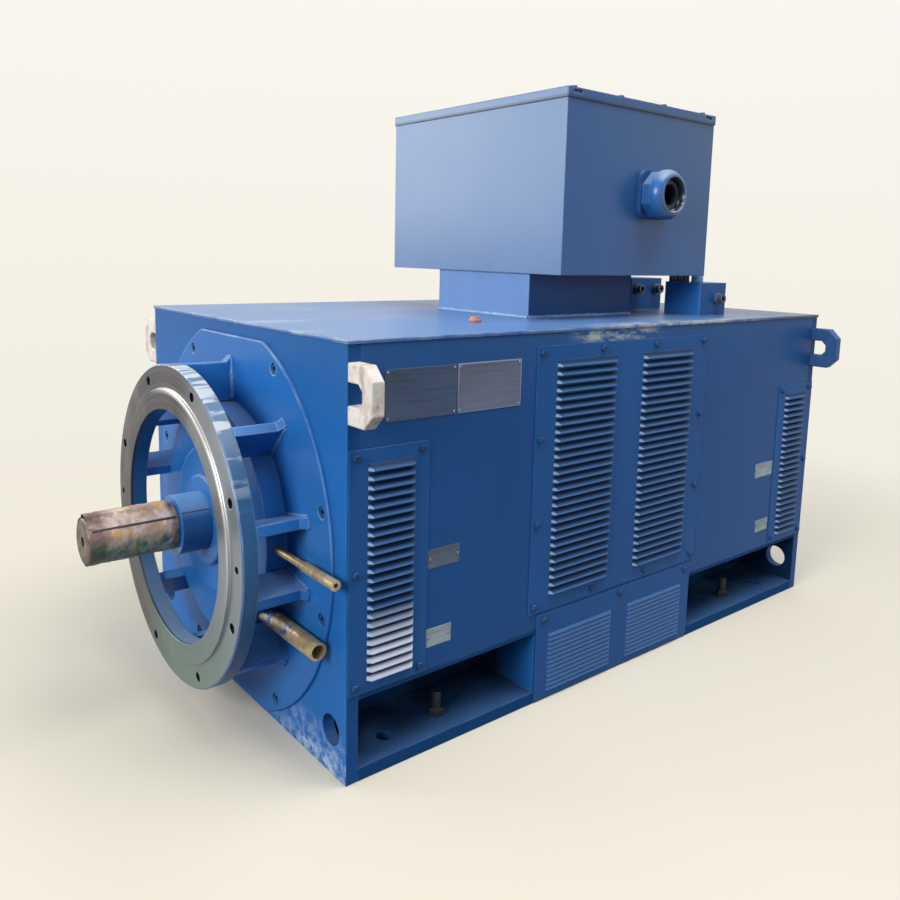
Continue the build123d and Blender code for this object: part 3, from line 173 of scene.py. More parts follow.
# Welded box frame: end plates, roof, floor and side skins of steel plate, welded together and
# sprayed with gloss blue enamel that has dulled, run and picked up shop dust.
def new_group(name, takes, gives):
    """An empty node group with its named inputs and outputs."""
    group = bpy.data.node_groups.new(name, "ShaderNodeTree")
    for socket, kind, value in takes:
        group.interface.new_socket(socket, in_out="INPUT", socket_type=kind).default_value = value
    for socket, kind in gives:
        group.interface.new_socket(socket, in_out="OUTPUT", socket_type=kind)
    return group, group.nodes.new("NodeGroupInput").outputs, group.nodes.new("NodeGroupOutput")


COLOUR, NUMBER, VECTOR = "NodeSocketColor", "NodeSocketFloat", "NodeSocketVector"


def sums(tree, kind, first, second=0.0, third=0.0):
    """One sum on numbers. Only MULTIPLY_ADD reads the third."""
    return put(tree, "ShaderNodeMath", {0: first, 1: second, 2: third}, operation=kind).outputs[0]


def times(tree, *values):
    """Numbers and masks multiplied together."""
    total = values[0]
    for value in values[1:]:
        total = sums(tree, "MULTIPLY", total, value)
    return total


def noise(tree, where, scale, detail=3.0, rough=0.55, stretch=None, shift=(0, 0, 0)):
    """Noise in metres on Object coordinates, stretched along an axis if asked."""
    if stretch:
        where = put(tree, "ShaderNodeMapping",
                    {"Vector": where, "Scale": stretch, "Location": shift}).outputs[0]
    return put(tree, "ShaderNodeTexNoise", {"Vector": where, "Scale": scale, "Detail": detail,
                                            "Roughness": rough}).outputs["Fac"]


def facing(tree):
    """The X, Y and Z of the way a face points."""
    normal = put(tree, "ShaderNodeNewGeometry").outputs["Normal"]
    return put(tree, "ShaderNodeSeparateXYZ", {"Vector": normal}).outputs


# Shared paint effect: cloudy colour, runs, fine orange peel and dust on what faces up. Faces that
# point to the ends get a brighter copy of the paint than the sides: painted light.
enamel, takes, gives = new_group(
    "weathered_enamel",
    [("Paint", COLOUR, (0.02, 0.11, 0.36, 1)), ("Lit end paint", COLOUR, (0.05, 0.17, 0.42, 1)),
     ("Dust and lit top", COLOUR, (0.26, 0.33, 0.40, 1)), ("Dust amount", NUMBER, 0.25), ("Gloss", NUMBER, 0.3),
     ("Fading", NUMBER, 0.4)],
    [("Colour", COLOUR), ("Roughness", NUMBER), ("Height", NUMBER)])
where = put(enamel, "ShaderNodeTexCoord").outputs["Object"]
clouds = noise(enamel, where, 2.3, 5.0, 0.6)
runs = noise(enamel, where, 1.0, 4.0, 0.6, (34.0, 34.0, 1.6))
specks = noise(enamel, where, 75.0, 3.0, 0.7)
peel = noise(enamel, where, 240.0, 2.0, 0.5)
waves = noise(enamel, where, 5.0, 2.0, 0.4)
normal = facing(enamel)
endways = sums(enamel, "ABSOLUTE", normal["X"])
tone = blend(enamel, spread(enamel, endways, 0.3, 0.9), takes["Paint"], takes["Lit end paint"])
faded = put(enamel, "ShaderNodeVectorMath", {0: tone, 1: (1.6, 1.4, 1.25)}, operation="MULTIPLY").outputs[0]
fading = times(enamel, spread(enamel, clouds, 0.38, 0.68), takes["Fading"])
tone = blend(enamel, fading, tone, faded)
tone = blend(enamel, spread(enamel, runs, 0.48, 0.80, 0.0, 0.25), tone, faded)
lying = times(enamel, spread(enamel, normal["Z"], 0.4, 0.95), spread(enamel, clouds, 0.2, 0.75, 0.35, 1.0))
speckled = times(enamel, spread(enamel, specks, 0.64, 0.76), 0.07)
dust_and_lit_top = sums(enamel, "ADD", times(enamel, lying, takes["Dust amount"]), speckled)
tone = blend(enamel, dust_and_lit_top, tone, takes["Dust and lit top"])
enamel.links.new(tone, gives.inputs["Colour"])
shine = sums(enamel, "ADD", takes["Gloss"], spread(enamel, clouds, 0.25, 0.80, 0.0, 0.12))
enamel.links.new(sums(enamel, "MULTIPLY_ADD", dust_and_lit_top, 0.35, shine), gives.inputs["Roughness"])
enamel.links.new(sums(enamel, "MULTIPLY_ADD", waves, 8.0, peel), gives.inputs["Height"])

# Shared edge effect: rounds sharp edges in the shading and masks them for wear and painted highlights.
edges, takes, gives = new_group(
    "worn_and_highlit_edges", [("Radius", NUMBER, 0.004), ("Patches", NUMBER, 9.0)],
    [("Mask", NUMBER), ("Normal", VECTOR)])
rounded = put(edges, "ShaderNodeBevel", {"Radius": takes["Radius"]}, samples=4).outputs["Normal"]
face = put(edges, "ShaderNodeNewGeometry").outputs["True Normal"]
turned = put(edges, "ShaderNodeVectorMath", {0: rounded, 1: face}, operation="DOT_PRODUCT").outputs["Value"]
edge = spread(edges, turned, 0.995, 0.90)
where = put(edges, "ShaderNodeTexCoord").outputs["Object"]
patchy = put(edges, "ShaderNodeTexNoise", {"Vector": where, "Scale": takes["Patches"], "Detail": 6.0,
                                          "Roughness": 0.65}).outputs["Fac"]
edges.links.new(times(edges, edge, spread(edges, patchy, 0.38, 0.62)), gives.inputs["Mask"])
edges.links.new(rounded, gives.inputs["Normal"])


def surface(name, specular=0.5, coat=0.0, metallic=0.0):
    """A new material, with its tree and its shader."""
    material = bpy.data.materials.new(name)
    material.use_nodes = True
    tree = material.node_tree
    shader = tree.nodes["Principled BSDF"]
    shader.inputs["Specular IOR Level"].default_value = specular
    shader.inputs["Coat Weight"].default_value = coat
    shader.inputs["Metallic"].default_value = metallic
    return material, tree, shader


def use(tree, group, values=None):
    """A group placed in a material with its own values."""
    return put(tree, "ShaderNodeGroup", values, node_tree=group).outputs


def recolour(shader, colour):
    """Gives a shader a new colour."""
    shader.id_data.links.new(colour, shader.inputs["Base Color"])


def finish(tree, shader, colour, roughness, height, strength, normal=None, distance=0.001):
    """Links colour, roughness and relief to the shader."""
    recolour(shader, colour)
    tree.links.new(roughness, shader.inputs["Roughness"])
    values = {"Height": height, "Strength": strength, "Distance": distance}
    if normal:
        values["Normal"] = normal
    tree.links.new(put(tree, "ShaderNodeBump", values).outputs[0], shader.inputs["Normal"])


def worn_and_highlit_paint(name, paint, lit_end_paint, edge_colour, dust, gloss, specular, radius=0.004, edge_amount=0.5,
                 fading=0.4):
    """Enamel with edges paler from wear and painted highlight. It gives back what a piece needs to add marks
    of its own.
    """
    material, tree, shader = surface(name, specular)
    painted = use(tree, enamel, {"Paint": paint, "Lit end paint": lit_end_paint, "Dust amount": dust, "Gloss": gloss,
                                 "Fading": fading})
    edge_wear_and_light = use(tree, edges, {"Radius": radius})
    colour = blend(tree, times(tree, edge_wear_and_light["Mask"], edge_amount), painted["Colour"], edge_colour)
    finish(tree, shader, colour, painted["Roughness"], painted["Height"], 0.25, edge_wear_and_light["Normal"], 0.0004)
    return material, tree, shader, colour


def dress(material, *names):
    """Gives a material to CAD nodes through their own material slots."""
    for name in names:
        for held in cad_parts[name].material_slots:
            held.material = material


# The side faces take the darker blue and the end faces a brighter copy of it: painted light.
SHADED_SIDE_BLUE, LIT_END_BLUE = (0.0085, 0.065, 0.222, 1), (0.013, 0.115, 0.370, 1)
# Edges take a pale blue, partly wear and partly painted highlight.
WORN_AND_HIGHLIT_BLUE = (0.16, 0.30, 0.52, 1)

# A pale yellow-white patch lies at the top of the side under the box; painted light makes the side paler
# towards its top and rear.
side_enamel, tree, shader, colour = worn_and_highlit_paint("side_enamel", SHADED_SIDE_BLUE, LIT_END_BLUE, WORN_AND_HIGHLIT_BLUE, 0.25,
                                                 0.32, 0.14, 0.004, 0.2)
where, axes = place_in(tree)
pale_patch = times(tree, spread(tree, axes["Z"], 0.930, 0.950), spread(tree, axes["Y"], -0.5465, -0.5475),
                spread(tree, axes["X"], -0.30, -0.20), spread(tree, axes["X"], 0.10, -0.02),
                spread(tree, noise(tree, where, 22.0, 5.0, 0.7, (0.5, 1.0, 1.4)), 0.42, 0.58))
painted_light_band = sums(tree, "MAXIMUM", spread(tree, axes["Z"], 0.78, 0.95, 0.0, 0.30),
            spread(tree, axes["X"], 0.0, 0.9, 0.0, 0.30))
colour = blend(tree, painted_light_band, colour, (0.048, 0.125, 0.290, 1))
recolour(shader, blend(tree, times(tree, pale_patch, 0.8), colour, (0.52, 0.56, 0.50, 1)))
dress(side_enamel, "side_skin_right", "side_skin_left", "floor_plate")

# Pale smears and a yellow-white patch lie on the roof. Its edges are pale from wear and painted
# highlight, and painted shade darkens it towards the rear.
roof_enamel, tree, shader, colour = worn_and_highlit_paint("roof_enamel", LIT_END_BLUE, LIT_END_BLUE, (0.62, 0.60, 0.50, 1),
                                                 0.40, 0.20, 0.50, 0.006, 0.8)
where, axes = place_in(tree)
smear = noise(tree, where, 3.2, 6.0, 0.65, (0.5, 1.8, 1.0))
colour = blend(tree, spread(tree, smear, 0.60, 0.72, 0.0, 0.5), colour, (0.42, 0.50, 0.58, 1))
colour = blend(tree, spread(tree, axes["X"], 0.10, 0.70, 0.0, 0.9), colour, (0.012, 0.050, 0.14, 1))
pale_roof_patch = times(tree, spread(tree, axes["Y"], -0.47, -0.53), spread(tree, axes["X"], -0.30, 0.05),
              spread(tree, axes["X"], 0.62, 0.28),
              spread(tree, noise(tree, where, 16.0, 6.0, 0.7), 0.42, 0.60))
recolour(shader, blend(tree, times(tree, pale_roof_patch, 0.7), colour, (0.60, 0.62, 0.50, 1)))
dress(roof_enamel, "roof_plate")

# The end plates' lower edges have been knocked by the timbers that the motor stood on. Their tops
# are darkened with painted shade, and their inner faces are painted nearly black as shade.
END_PLATE_FRONT, END_PLATE_BACK = 0.9395, 0.9105
end_enamel, tree, shader, colour = worn_and_highlit_paint("end_plate_enamel", SHADED_SIDE_BLUE, LIT_END_BLUE, WORN_AND_HIGHLIT_BLUE, 0.25,
                                                0.30, 0.08, 0.004, 0.3)
where, axes = place_in(tree)
rubbed = times(tree, spread(tree, axes["Z"], 0.115, 0.0), spread(tree, axes["Y"], -0.16, -0.36),
               spread(tree, noise(tree, where, 30.0, 6.0, 0.75), 0.44, 0.60),
               sums(tree, "LESS_THAN", axes["X"], -END_PLATE_FRONT))
colour = blend(tree, times(tree, rubbed, 0.8), colour, (0.50, 0.60, 0.70, 1))
colour = blend(tree, spread(tree, axes["Z"], 0.66, 0.97, 0.0, 0.5), colour, (0.008, 0.060, 0.190, 1))
inner_face_shade = sums(tree, "LESS_THAN", sums(tree, "ABSOLUTE", axes["X"]), END_PLATE_BACK)
recolour(shader, blend(tree, times(tree, inner_face_shade, 0.9), colour, (0.005, 0.018, 0.045, 1)))
dress(end_enamel, "front_end_plate", "rear_end_plate")

# Feet: open pockets of plate welded into the lower corners. They are painted with the frame, get
# painted shade inside the pockets, and hold a jacking screw each.
foot_enamel, tree, shader, colour = worn_and_highlit_paint("foot_enamel", (0.008, 0.052, 0.165, 1), LIT_END_BLUE,
                                                 WORN_AND_HIGHLIT_BLUE, 0.12, 0.60, 0.05, 0.004, 0.35)
where, axes = place_in(tree)
inward = spread(tree, sums(tree, "ABSOLUTE", axes["Y"]), 0.543, 0.40)
dirt_and_shade = times(tree, inward, spread(tree, noise(tree, where, 7.0, 5.0), 0.2, 0.6))
recolour(shader, blend(tree, times(tree, dirt_and_shade, 0.9), colour, (0.004, 0.013, 0.032, 1)))
dress(foot_enamel, "drive_foot_right", "drive_foot_left", "rear_foot_right", "rear_foot_left")


def metal(name, colour, second, roughness, scale=30.0, metallic=1.0, relief=0.3, edge_colour=None, dirt_and_shade=0.0):
    """Plain metal with cloudy tarnish, fine scratches, edges paler from wear and painted highlight, and dirt
    in patches.
    """
    material, tree, shader = surface(name, 0.5, 0.0, metallic)
    where = put(tree, "ShaderNodeTexCoord").outputs["Object"]
    clouds = noise(tree, where, scale, 5.0, 0.6)
    grit = noise(tree, where, scale * 12, 3.0, 0.6)
    tone = blend(tree, spread(tree, clouds, 0.35, 0.65), colour, second)
    edge_wear_and_light = use(tree, edges, {"Radius": 0.0015})
    if edge_colour:
        tone = blend(tree, edge_wear_and_light["Mask"], tone, edge_colour)
    if dirt_and_shade:
        tone = blend(tree, spread(tree, noise(tree, where, scale * 0.4, 5.0), 0.45, 0.7, 0.0, dirt_and_shade), tone,
                     (0.03, 0.025, 0.02, 1))
    rough = spread(tree, clouds, 0.3, 0.7, roughness - 0.08, roughness + 0.12)
    finish(tree, shader, tone, rough, grit, relief, edge_wear_and_light["Normal"], 0.0003)
    return material


dress(metal("jack_screw_zinc", (0.030, 0.038, 0.055, 1), (0.014, 0.018, 0.028, 1), 0.50, 60.0, 0.4, 0.3,
            (0.26, 0.28, 0.26, 1), 0.3), "jack_screws")

# Screwed covers: pressed steel sheets with rows of louvres, and the ribbed panels between the
# feet. They are sprayed with the frame and held by hexagon screws along their rims.
COVER_FACE = 0.5512
LOUVRES_ABOVE = 0.20
END_COVERS_FROM = 0.6
# The foot of the lowest louvre, and the pitch, of an end bank and of a centre bank.
END_BANK, CENTRE_BANK = (0.2327, 0.0204), (0.2917, 0.0212)
cover_enamel, tree, shader, colour = worn_and_highlit_paint("cover_enamel", (0.011, 0.078, 0.255, 1), LIT_END_BLUE,
                                                  (0.20, 0.34, 0.54, 1), 0.10, 0.30, 0.14, 0.003, 0.20)
where, axes = place_in(tree)
proud = sums(tree, "GREATER_THAN", sums(tree, "ABSOLUTE", axes["Y"]), COVER_FACE)
on_end = sums(tree, "GREATER_THAN", sums(tree, "ABSOLUTE", axes["X"]), END_COVERS_FROM)
low, pitch = (put(tree, "ShaderNodeMix", {"Factor": on_end, "A": centre, "B": end}).outputs["Result"]
              for centre, end in zip(CENTRE_BANK, END_BANK))
step = sums(tree, "DIVIDE", sums(tree, "SUBTRACT", axes["Z"], low), pitch)
up_slat = sums(tree, "FRACT", step)
is_louvre = times(tree, proud, sums(tree, "GREATER_THAN", axes["Z"], LOUVRES_ABOVE))

# Each hood has painted shade above its lip, and a painted highlight on its lip and at the end that
# faces the drive end.
hood_shade = times(tree, spread(tree, up_slat, 0.16, 0.46), is_louvre, 0.90)
colour = blend(tree, hood_shade, colour, (0.003, 0.012, 0.034, 1))
lip = times(tree, spread(tree, up_slat, 0.20, 0.08), is_louvre, 0.40)
colour = blend(tree, lip, colour, (0.14, 0.26, 0.46, 1))
ends = times(tree, spread(tree, times(tree, facing(tree)["X"], -1.0), 0.25, 0.6), is_louvre,
             spread(tree, up_slat, 0.50, 0.25), 0.8)
colour = blend(tree, ends, colour, (0.34, 0.48, 0.70, 1))

# The ribs of the lower panels get a painted highlight, and the lowest louvres at the drive end a
# pale painted reflection on the right-hand side.
ribbed = times(tree, proud, sums(tree, "LESS_THAN", axes["Z"], LOUVRES_ABOVE), 0.30)
colour = blend(tree, ribbed, colour, (0.16, 0.27, 0.46, 1))
lower_louvre_reflection = times(tree, times(tree, is_louvre, on_end), spread(tree, sums(tree, "FLOOR", step), 8.0, 3.0),
                 spread(tree, up_slat, 0.62, 0.40), spread(tree, times(tree, axes["Y"], -1.0), 0.0, 0.1),
                 spread(tree, axes["X"], 0.0, -0.1), 0.9)
recolour(shader, blend(tree, lower_louvre_reflection, colour, (0.54, 0.58, 0.70, 1)))
dress(cover_enamel, "drive_louvre_cover_right", "drive_louvre_cover_left", "rear_louvre_cover_right",
      "rear_louvre_cover_left", "centre_cover_right", "centre_cover_left", "lower_panel_right",
      "lower_panel_left")
screw_enamel = worn_and_highlit_paint("screw_enamel", (0.006, 0.034, 0.110, 1), (0.010, 0.060, 0.190, 1),
                            (0.16, 0.24, 0.36, 1), 0.3, 0.34, 0.22, 0.0015, 0.3)[0]
dress(screw_enamel, "cover_screws", "shield_bolts", "lid_bolts")

# Lifting lugs: heavy eight-sided half rings welded to the end plates. The drive-end pair is cream,
# marked brown by slings and grease. The rear pair is sprayed with the frame.
lug_cream, tree, shader = surface("lug_cream_enamel", 0.35)
where, axes = place_in(tree)
patches = noise(tree, where, 26.0, 6.0, 0.65)
streaks = noise(tree, where, 9.0, 5.0, 0.7, (1.0, 3.0, 1.0))
spots = noise(tree, where, 60.0, 4.0)
tone = blend(tree, spread(tree, patches, 0.35, 0.65), (0.74, 0.68, 0.64, 1), (0.60, 0.55, 0.50, 1))
tone = blend(tree, spread(tree, streaks, 0.50, 0.62, 0.0, 0.75), tone, (0.36, 0.25, 0.17, 1))
tone = blend(tree, spread(tree, spots, 0.62, 0.72, 0.0, 0.6), tone, (0.20, 0.16, 0.12, 1))
rear_blue = blend(tree, spread(tree, patches, 0.3, 0.7), (0.012, 0.065, 0.20, 1), (0.03, 0.10, 0.26, 1))
tone = blend(tree, sums(tree, "GREATER_THAN", axes["X"], 0.0), tone, rear_blue)
edge_wear_and_light = use(tree, edges, {"Radius": 0.006})
finish(tree, shader, tone, spread(tree, patches, 0.3, 0.7, 0.38, 0.62), noise(tree, where, 160.0, 4.0), 0.4,
       edge_wear_and_light["Normal"], 0.0006)
dress(lug_cream, "lifting_lugs")

# Rating plates: two etched aluminium plates riveted to the skin, side by side, left bare here.
# The left one has gone dark and streaky, and the right one keeps a bright rim.
SKIN_FACE = -0.548


def select_parts(piece, kind, wanted):
    """Selects the vertices, edges or faces that answer wanted, and stays in edit mode."""
    bpy.ops.object.mode_set(mode="EDIT")
    bpy.ops.mesh.select_mode(type=kind)
    bpy.ops.mesh.select_all(action="DESELECT")
    bpy.ops.object.mode_set(mode="OBJECT")
    parts = {"VERT": piece.data.vertices, "EDGE": piece.data.edges, "FACE": piece.data.polygons}[kind]
    for part in parts:
        part.select = bool(wanted(part))
    bpy.ops.object.mode_set(mode="EDIT")


def begin(kind, **values):
    """Adds a primitive with everything else deselected, its place in its mesh."""
    bpy.ops.object.select_all(action="DESELECT")
    getattr(bpy.ops.mesh, "primitive_" + kind + "_add")(**values)
    bpy.ops.object.transform_apply(location=True, rotation=True, scale=True)
    return bpy.context.object


def modify(piece, kind, **values):
    """Adds a modifier and applies it, back in object mode."""
    bpy.ops.object.mode_set(mode="OBJECT")
    modifier = piece.modifiers.new(kind.title(), kind)
    for name, value in values.items():
        setattr(modifier, name, value)
    bpy.ops.object.select_all(action="DESELECT")
    piece.select_set(True)
    bpy.context.view_layer.objects.active = piece
    bpy.ops.object.modifier_apply(modifier=modifier.name)


def complete(piece, name, material, body="frame", angle=35.0):
    """Names a finished piece, gives it its material, shading and body."""
    bpy.ops.object.mode_set(mode="OBJECT")
    bpy.ops.object.select_all(action="DESELECT")
    piece.select_set(True)
    bpy.context.view_layer.objects.active = piece
    bpy.ops.object.shade_smooth_by_angle(angle=math.radians(angle))
    piece.name = name
    piece.data.name = name
    piece.data.materials.clear()
    piece.data.materials.append(material)
    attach(piece, body)
    return piece


def plate_on_skin(name, x0, x1, z0, z1, thickness, rim, material):
    """A thin riveted plate with a raised rim on the right-hand skin."""
    centre = ((x0 + x1) / 2, SKIN_FACE - thickness / 2, (z0 + z1) / 2)
    piece = begin("cube", size=1.0, location=centre, scale=(x1 - x0, thickness, z1 - z0))
    select_parts(piece, "FACE", lambda face: face.normal.y < -0.9)
    bpy.ops.mesh.inset(thickness=rim, depth=0.0)
    bpy.ops.mesh.inset(thickness=rim * 0.3, depth=-thickness * 0.35)
    modify(piece, "BEVEL", width=0.0006, segments=2, limit_method="ANGLE")
    complete(piece, name, material)


def plate_metal(name, colour, second, streak, rim_colour, box, rim):
    """Etched plate with lengthwise streaks, a bright rim and smudges."""
    material, tree, shader = surface(name, 0.25, 0.0, 0.15)
    where, axes = place_in(tree)
    lines = noise(tree, where, 1.0, 5.0, 0.7, (9.0, 1.0, 210.0))
    clouds = noise(tree, where, 22.0, 5.0, 0.6)
    tone = blend(tree, spread(tree, clouds, 0.35, 0.65), colour, second)
    tone = blend(tree, spread(tree, lines, 0.45, 0.70, 0.0, 0.8), tone, streak)
    x0, x1, z0, z1 = box
    sides = [sums(tree, "SUBTRACT", axes["X"], x0), sums(tree, "SUBTRACT", x1, axes["X"]),
             sums(tree, "SUBTRACT", axes["Z"], z0), sums(tree, "SUBTRACT", z1, axes["Z"])]
    nearest = sides[0]
    for side in sides[1:]:
        nearest = sums(tree, "MINIMUM", nearest, side)
    tone = blend(tree, spread(tree, nearest, rim * 1.3, rim * 0.9), tone, rim_colour)
    rough = spread(tree, clouds, 0.3, 0.7, 0.30, 0.52)
    finish(tree, shader, tone, rough, lines, 0.15, None, 0.0003)
    return material


LEFT_PLATE, RIGHT_PLATE = (-0.850, -0.655, 0.800, 0.914), (-0.652, -0.456, 0.800, 0.914)
left_metal = plate_metal("left_plate_metal", (0.045, 0.080, 0.150, 1), (0.068, 0.082, 0.135, 1),
                         (0.026, 0.052, 0.095, 1), (0.060, 0.090, 0.155, 1), LEFT_PLATE, 0.003)
right_metal = plate_metal("right_plate_metal", (0.108, 0.132, 0.205, 1), (0.132, 0.135, 0.195, 1),
                          (0.082, 0.100, 0.145, 1), (0.19, 0.25, 0.36, 1), RIGHT_PLATE, 0.003)
plate_on_skin("rating_plate_left", *LEFT_PLATE, 0.0014, 0.004, left_metal)
plate_on_skin("rating_plate_right", *RIGHT_PLATE, 0.0018, 0.005, right_metal)
NO_RIM = (-9, 9, -9, 9)
label_tan = plate_metal("label_tan_metal", (0.080, 0.110, 0.165, 1), (0.062, 0.088, 0.140, 1),
                        (0.12, 0.13, 0.14, 1), (0.20, 0.21, 0.23, 1), NO_RIM, 0.002)
label_cream = plate_metal("label_cream_metal", (0.32, 0.38, 0.40, 1), (0.25, 0.31, 0.34, 1),
                          (0.18, 0.23, 0.27, 1), (0.5, 0.5, 0.5, 1), NO_RIM, 0.002)
LABELS = (("drive_upper_label", -0.728, -0.634, 0.447, 0.493, label_tan),
          ("drive_lower_label", -0.728, -0.655, 0.258, 0.303, label_cream),
          ("rear_upper_label", 0.620, 0.722, 0.450, 0.498, label_cream),
          ("rear_lower_label", 0.646, 0.719, 0.260, 0.301, label_cream))
for name, x0, x1, z0, z1, material in LABELS:
    plate_on_skin(name, x0, x1, z0, z1, 0.0012, 0.003, material)


rivet_metal = metal("rivet_aluminium", (0.20, 0.26, 0.36, 1), (0.13, 0.18, 0.27, 1), 0.45, 80.0)
RIVET_INSET = 0.007


def rivet(name, x, y, z, radius):
    """A domed rivet head that faces -Y."""
    piece = begin("cylinder", vertices=16, radius=radius, depth=radius * 0.5,
                  location=(x, y - radius * 0.25, z), rotation=(math.pi / 2, 0, 0))
    select_parts(piece, "FACE", lambda face: face.normal.y < -0.9)
    bpy.ops.mesh.inset(thickness=radius * 0.3, depth=radius * 0.18)
    bpy.ops.mesh.inset(thickness=radius * 0.35, depth=radius * 0.08)
    complete(piece, name, rivet_metal, angle=70.0)


for label, (x0, x1, z0, z1) in (("left", LEFT_PLATE), ("right", RIGHT_PLATE)):
    corners = [(x, z) for z in (z0 + RIVET_INSET, z1 - RIVET_INSET)
               for x in (x0 + RIVET_INSET, x1 - RIVET_INSET)]
    for index, (x, z) in enumerate(corners):
        rivet("rating_rivet_%s_%d" % (label, index + 1), x, SKIN_FACE - 0.0012, z, 0.0032)
for name, x0, x1, z0, z1, material in LABELS:
    for index, x in enumerate((x0 + RIVET_INSET, x1 - RIVET_INSET)):
        rivet("%s_rivet_%d" % (name, index + 1), x, SKIN_FACE - 0.0008, (z0 + z1) / 2, 0.003)

# Drive-end shield and its ribbed flange: castings and plate, machined on the flange's face and
# painted elsewhere. A weld bead runs along both sides of each rib's foot.
SHAFT_HEIGHT = 0.475


def distance_from(tree, where, point, kept):
    """The distance from a point, along the axes that are kept."""
    centred = put(tree, "ShaderNodeVectorMath", {0: where, 1: point}, operation="SUBTRACT").outputs[0]
    flat = put(tree, "ShaderNodeVectorMath", {0: centred, 1: kept}, operation="MULTIPLY").outputs[0]
    return put(tree, "ShaderNodeVectorMath", {0: flat}, operation="LENGTH").outputs["Value"]


def turning(tree, radius, pitch):
    """Fine rings left by a lathe, as noise on the radius."""
    return put(tree, "ShaderNodeTexNoise", {"W": times(tree, radius, pitch), "Scale": 1.0, "Detail": 4.0,
                                            "Roughness": 0.6}, noise_dimensions="1D").outputs["Fac"]


shield_enamel, tree, shader, colour = worn_and_highlit_paint("shield_enamel", (0.020, 0.145, 0.440, 1), LIT_END_BLUE,
                                                   (0.26, 0.43, 0.66, 1), 0.45, 0.28, 0.16, 0.005, 0.0)
edge_wear_and_light = use(tree, edges, {"Radius": 0.006})
axes = place_in(tree)[1]
# The shield's edges get a painted highlight high up and painted shade low down.
edge_highlight_and_shade = blend(tree, spread(tree, axes["Z"], 0.34, 0.62), (0.006, 0.020, 0.060, 1), (0.34, 0.50, 0.70, 1))
recolour(shader, blend(tree, times(tree, edge_wear_and_light["Mask"], 0.85), colour, edge_highlight_and_shade))
dress(shield_enamel, "drive_end_shield", "rear_end_shield", "flange_ribs", "drive_outer_bearing_cap",
      "rear_outer_bearing_cap", "shaft_seal")

# The flange's front is turned steel, stained, with a green-grey tint low down, a painted highlight
# on its right-hand side and a painted glint on the spigot's step. The rest is enamelled and knocked
# bare along its upper rim, and its bolt holes are painted dark as shade.
FLANGE_FRONT, FLANGE_BACK = -1.1045, -1.0695
HOLES_FROM, HOLES_TO = 0.345, 0.396
flange_metal, tree, shader = surface("flange_steel_and_enamel", 0.35)
where, axes = place_in(tree)
radius = distance_from(tree, where, (0.0, 0.0, SHAFT_HEIGHT), (0.0, 1.0, 1.0))
rings = turning(tree, radius, 620.0)
broad_rings = turning(tree, radius, 55.0)
stain = noise(tree, where, 6.5, 6.0, 0.62)
steel = blend(tree, spread(tree, stain, 0.35, 0.65), (0.078, 0.066, 0.078, 1), (0.046, 0.050, 0.066, 1))
steel = blend(tree, spread(tree, broad_rings, 0.50, 0.75, 0.0, 0.22), steel, (0.40, 0.40, 0.42, 1))
steel = blend(tree, spread(tree, axes["Y"], -0.06, -0.32, 0.0, 0.7), steel, (0.32, 0.38, 0.47, 1))
green = times(tree, spread(tree, axes["Z"], 0.40, 0.12), spread(tree, axes["Y"], 0.25, 0.0), 0.85)
steel = blend(tree, green, steel, (0.235, 0.340, 0.325, 1))
step = times(tree, spread(tree, radius, 0.328, 0.336), spread(tree, radius, 0.346, 0.339))
lit = times(tree, spread(tree, axes["Z"], 0.36, 0.62), spread(tree, axes["Y"], 0.12, -0.05))
steel = blend(tree, times(tree, step, lit, 0.85), steel, (0.92, 0.88, 0.86, 1))
fresh = times(tree, spread(tree, noise(tree, where, 5.0, 4.0, 0.5), 0.48, 0.62),
              spread(tree, axes["Z"], 0.30, 0.70), 0.15)
steel = blend(tree, fresh, steel, (0.62, 0.62, 0.64, 1))
painted = use(tree, enamel, {"Paint": (0.014, 0.085, 0.210, 1), "Lit end paint": LIT_END_BLUE, "Dust amount": 0.55,
                             "Gloss": 0.30})
edge_wear_and_light = use(tree, edges, {"Radius": 0.004})
knocked = times(tree, spread(tree, noise(tree, where, 10.0, 4.0, 0.6, (0.4, 3.0, 3.0)), 0.50, 0.56),
                spread(tree, radius, 0.395, 0.399), times(tree, spread(tree, axes["Z"], 0.60, 0.72), 0.8))
bare = sums(tree, "MAXIMUM", knocked, times(tree, edge_wear_and_light["Mask"], 0.8))
enamelled = blend(tree, bare, painted["Colour"], (0.55, 0.60, 0.64, 1))
hole_shade = times(tree, sums(tree, "GREATER_THAN", radius, HOLES_FROM),
                sums(tree, "LESS_THAN", radius, HOLES_TO), sums(tree, "LESS_THAN", axes["X"], FLANGE_BACK))
enamelled = blend(tree, hole_shade, enamelled, (0.006, 0.012, 0.024, 1))


def either(tree, amount, first, second):
    """A number that goes from the first to the second by an amount."""
    return put(tree, "ShaderNodeMix", {"Factor": amount, "A": first, "B": second}).outputs["Result"]


is_steel = sums(tree, "LESS_THAN", axes["X"], FLANGE_FRONT)
rough = either(tree, is_steel, painted["Roughness"], spread(tree, rings, 0.3, 0.7, 0.26, 0.44))
relief = either(tree, is_steel, painted["Height"], rings)
finish(tree, shader, blend(tree, is_steel, enamelled, steel), rough, relief, 0.25, edge_wear_and_light["Normal"], 0.0004)
tree.links.new(times(tree, is_steel, 0.9), shader.inputs["Metallic"])
dress(flange_metal, "flange_ring")

ripple = bpy.data.textures.new("bead_ripple", "CLOUDS")
ripple.noise_scale = 0.006


def edge_run(piece, edge):
    """The way from one end of an edge to the other."""
    first, second = (piece.data.vertices[index].co for index in edge.vertices)
    return second - first


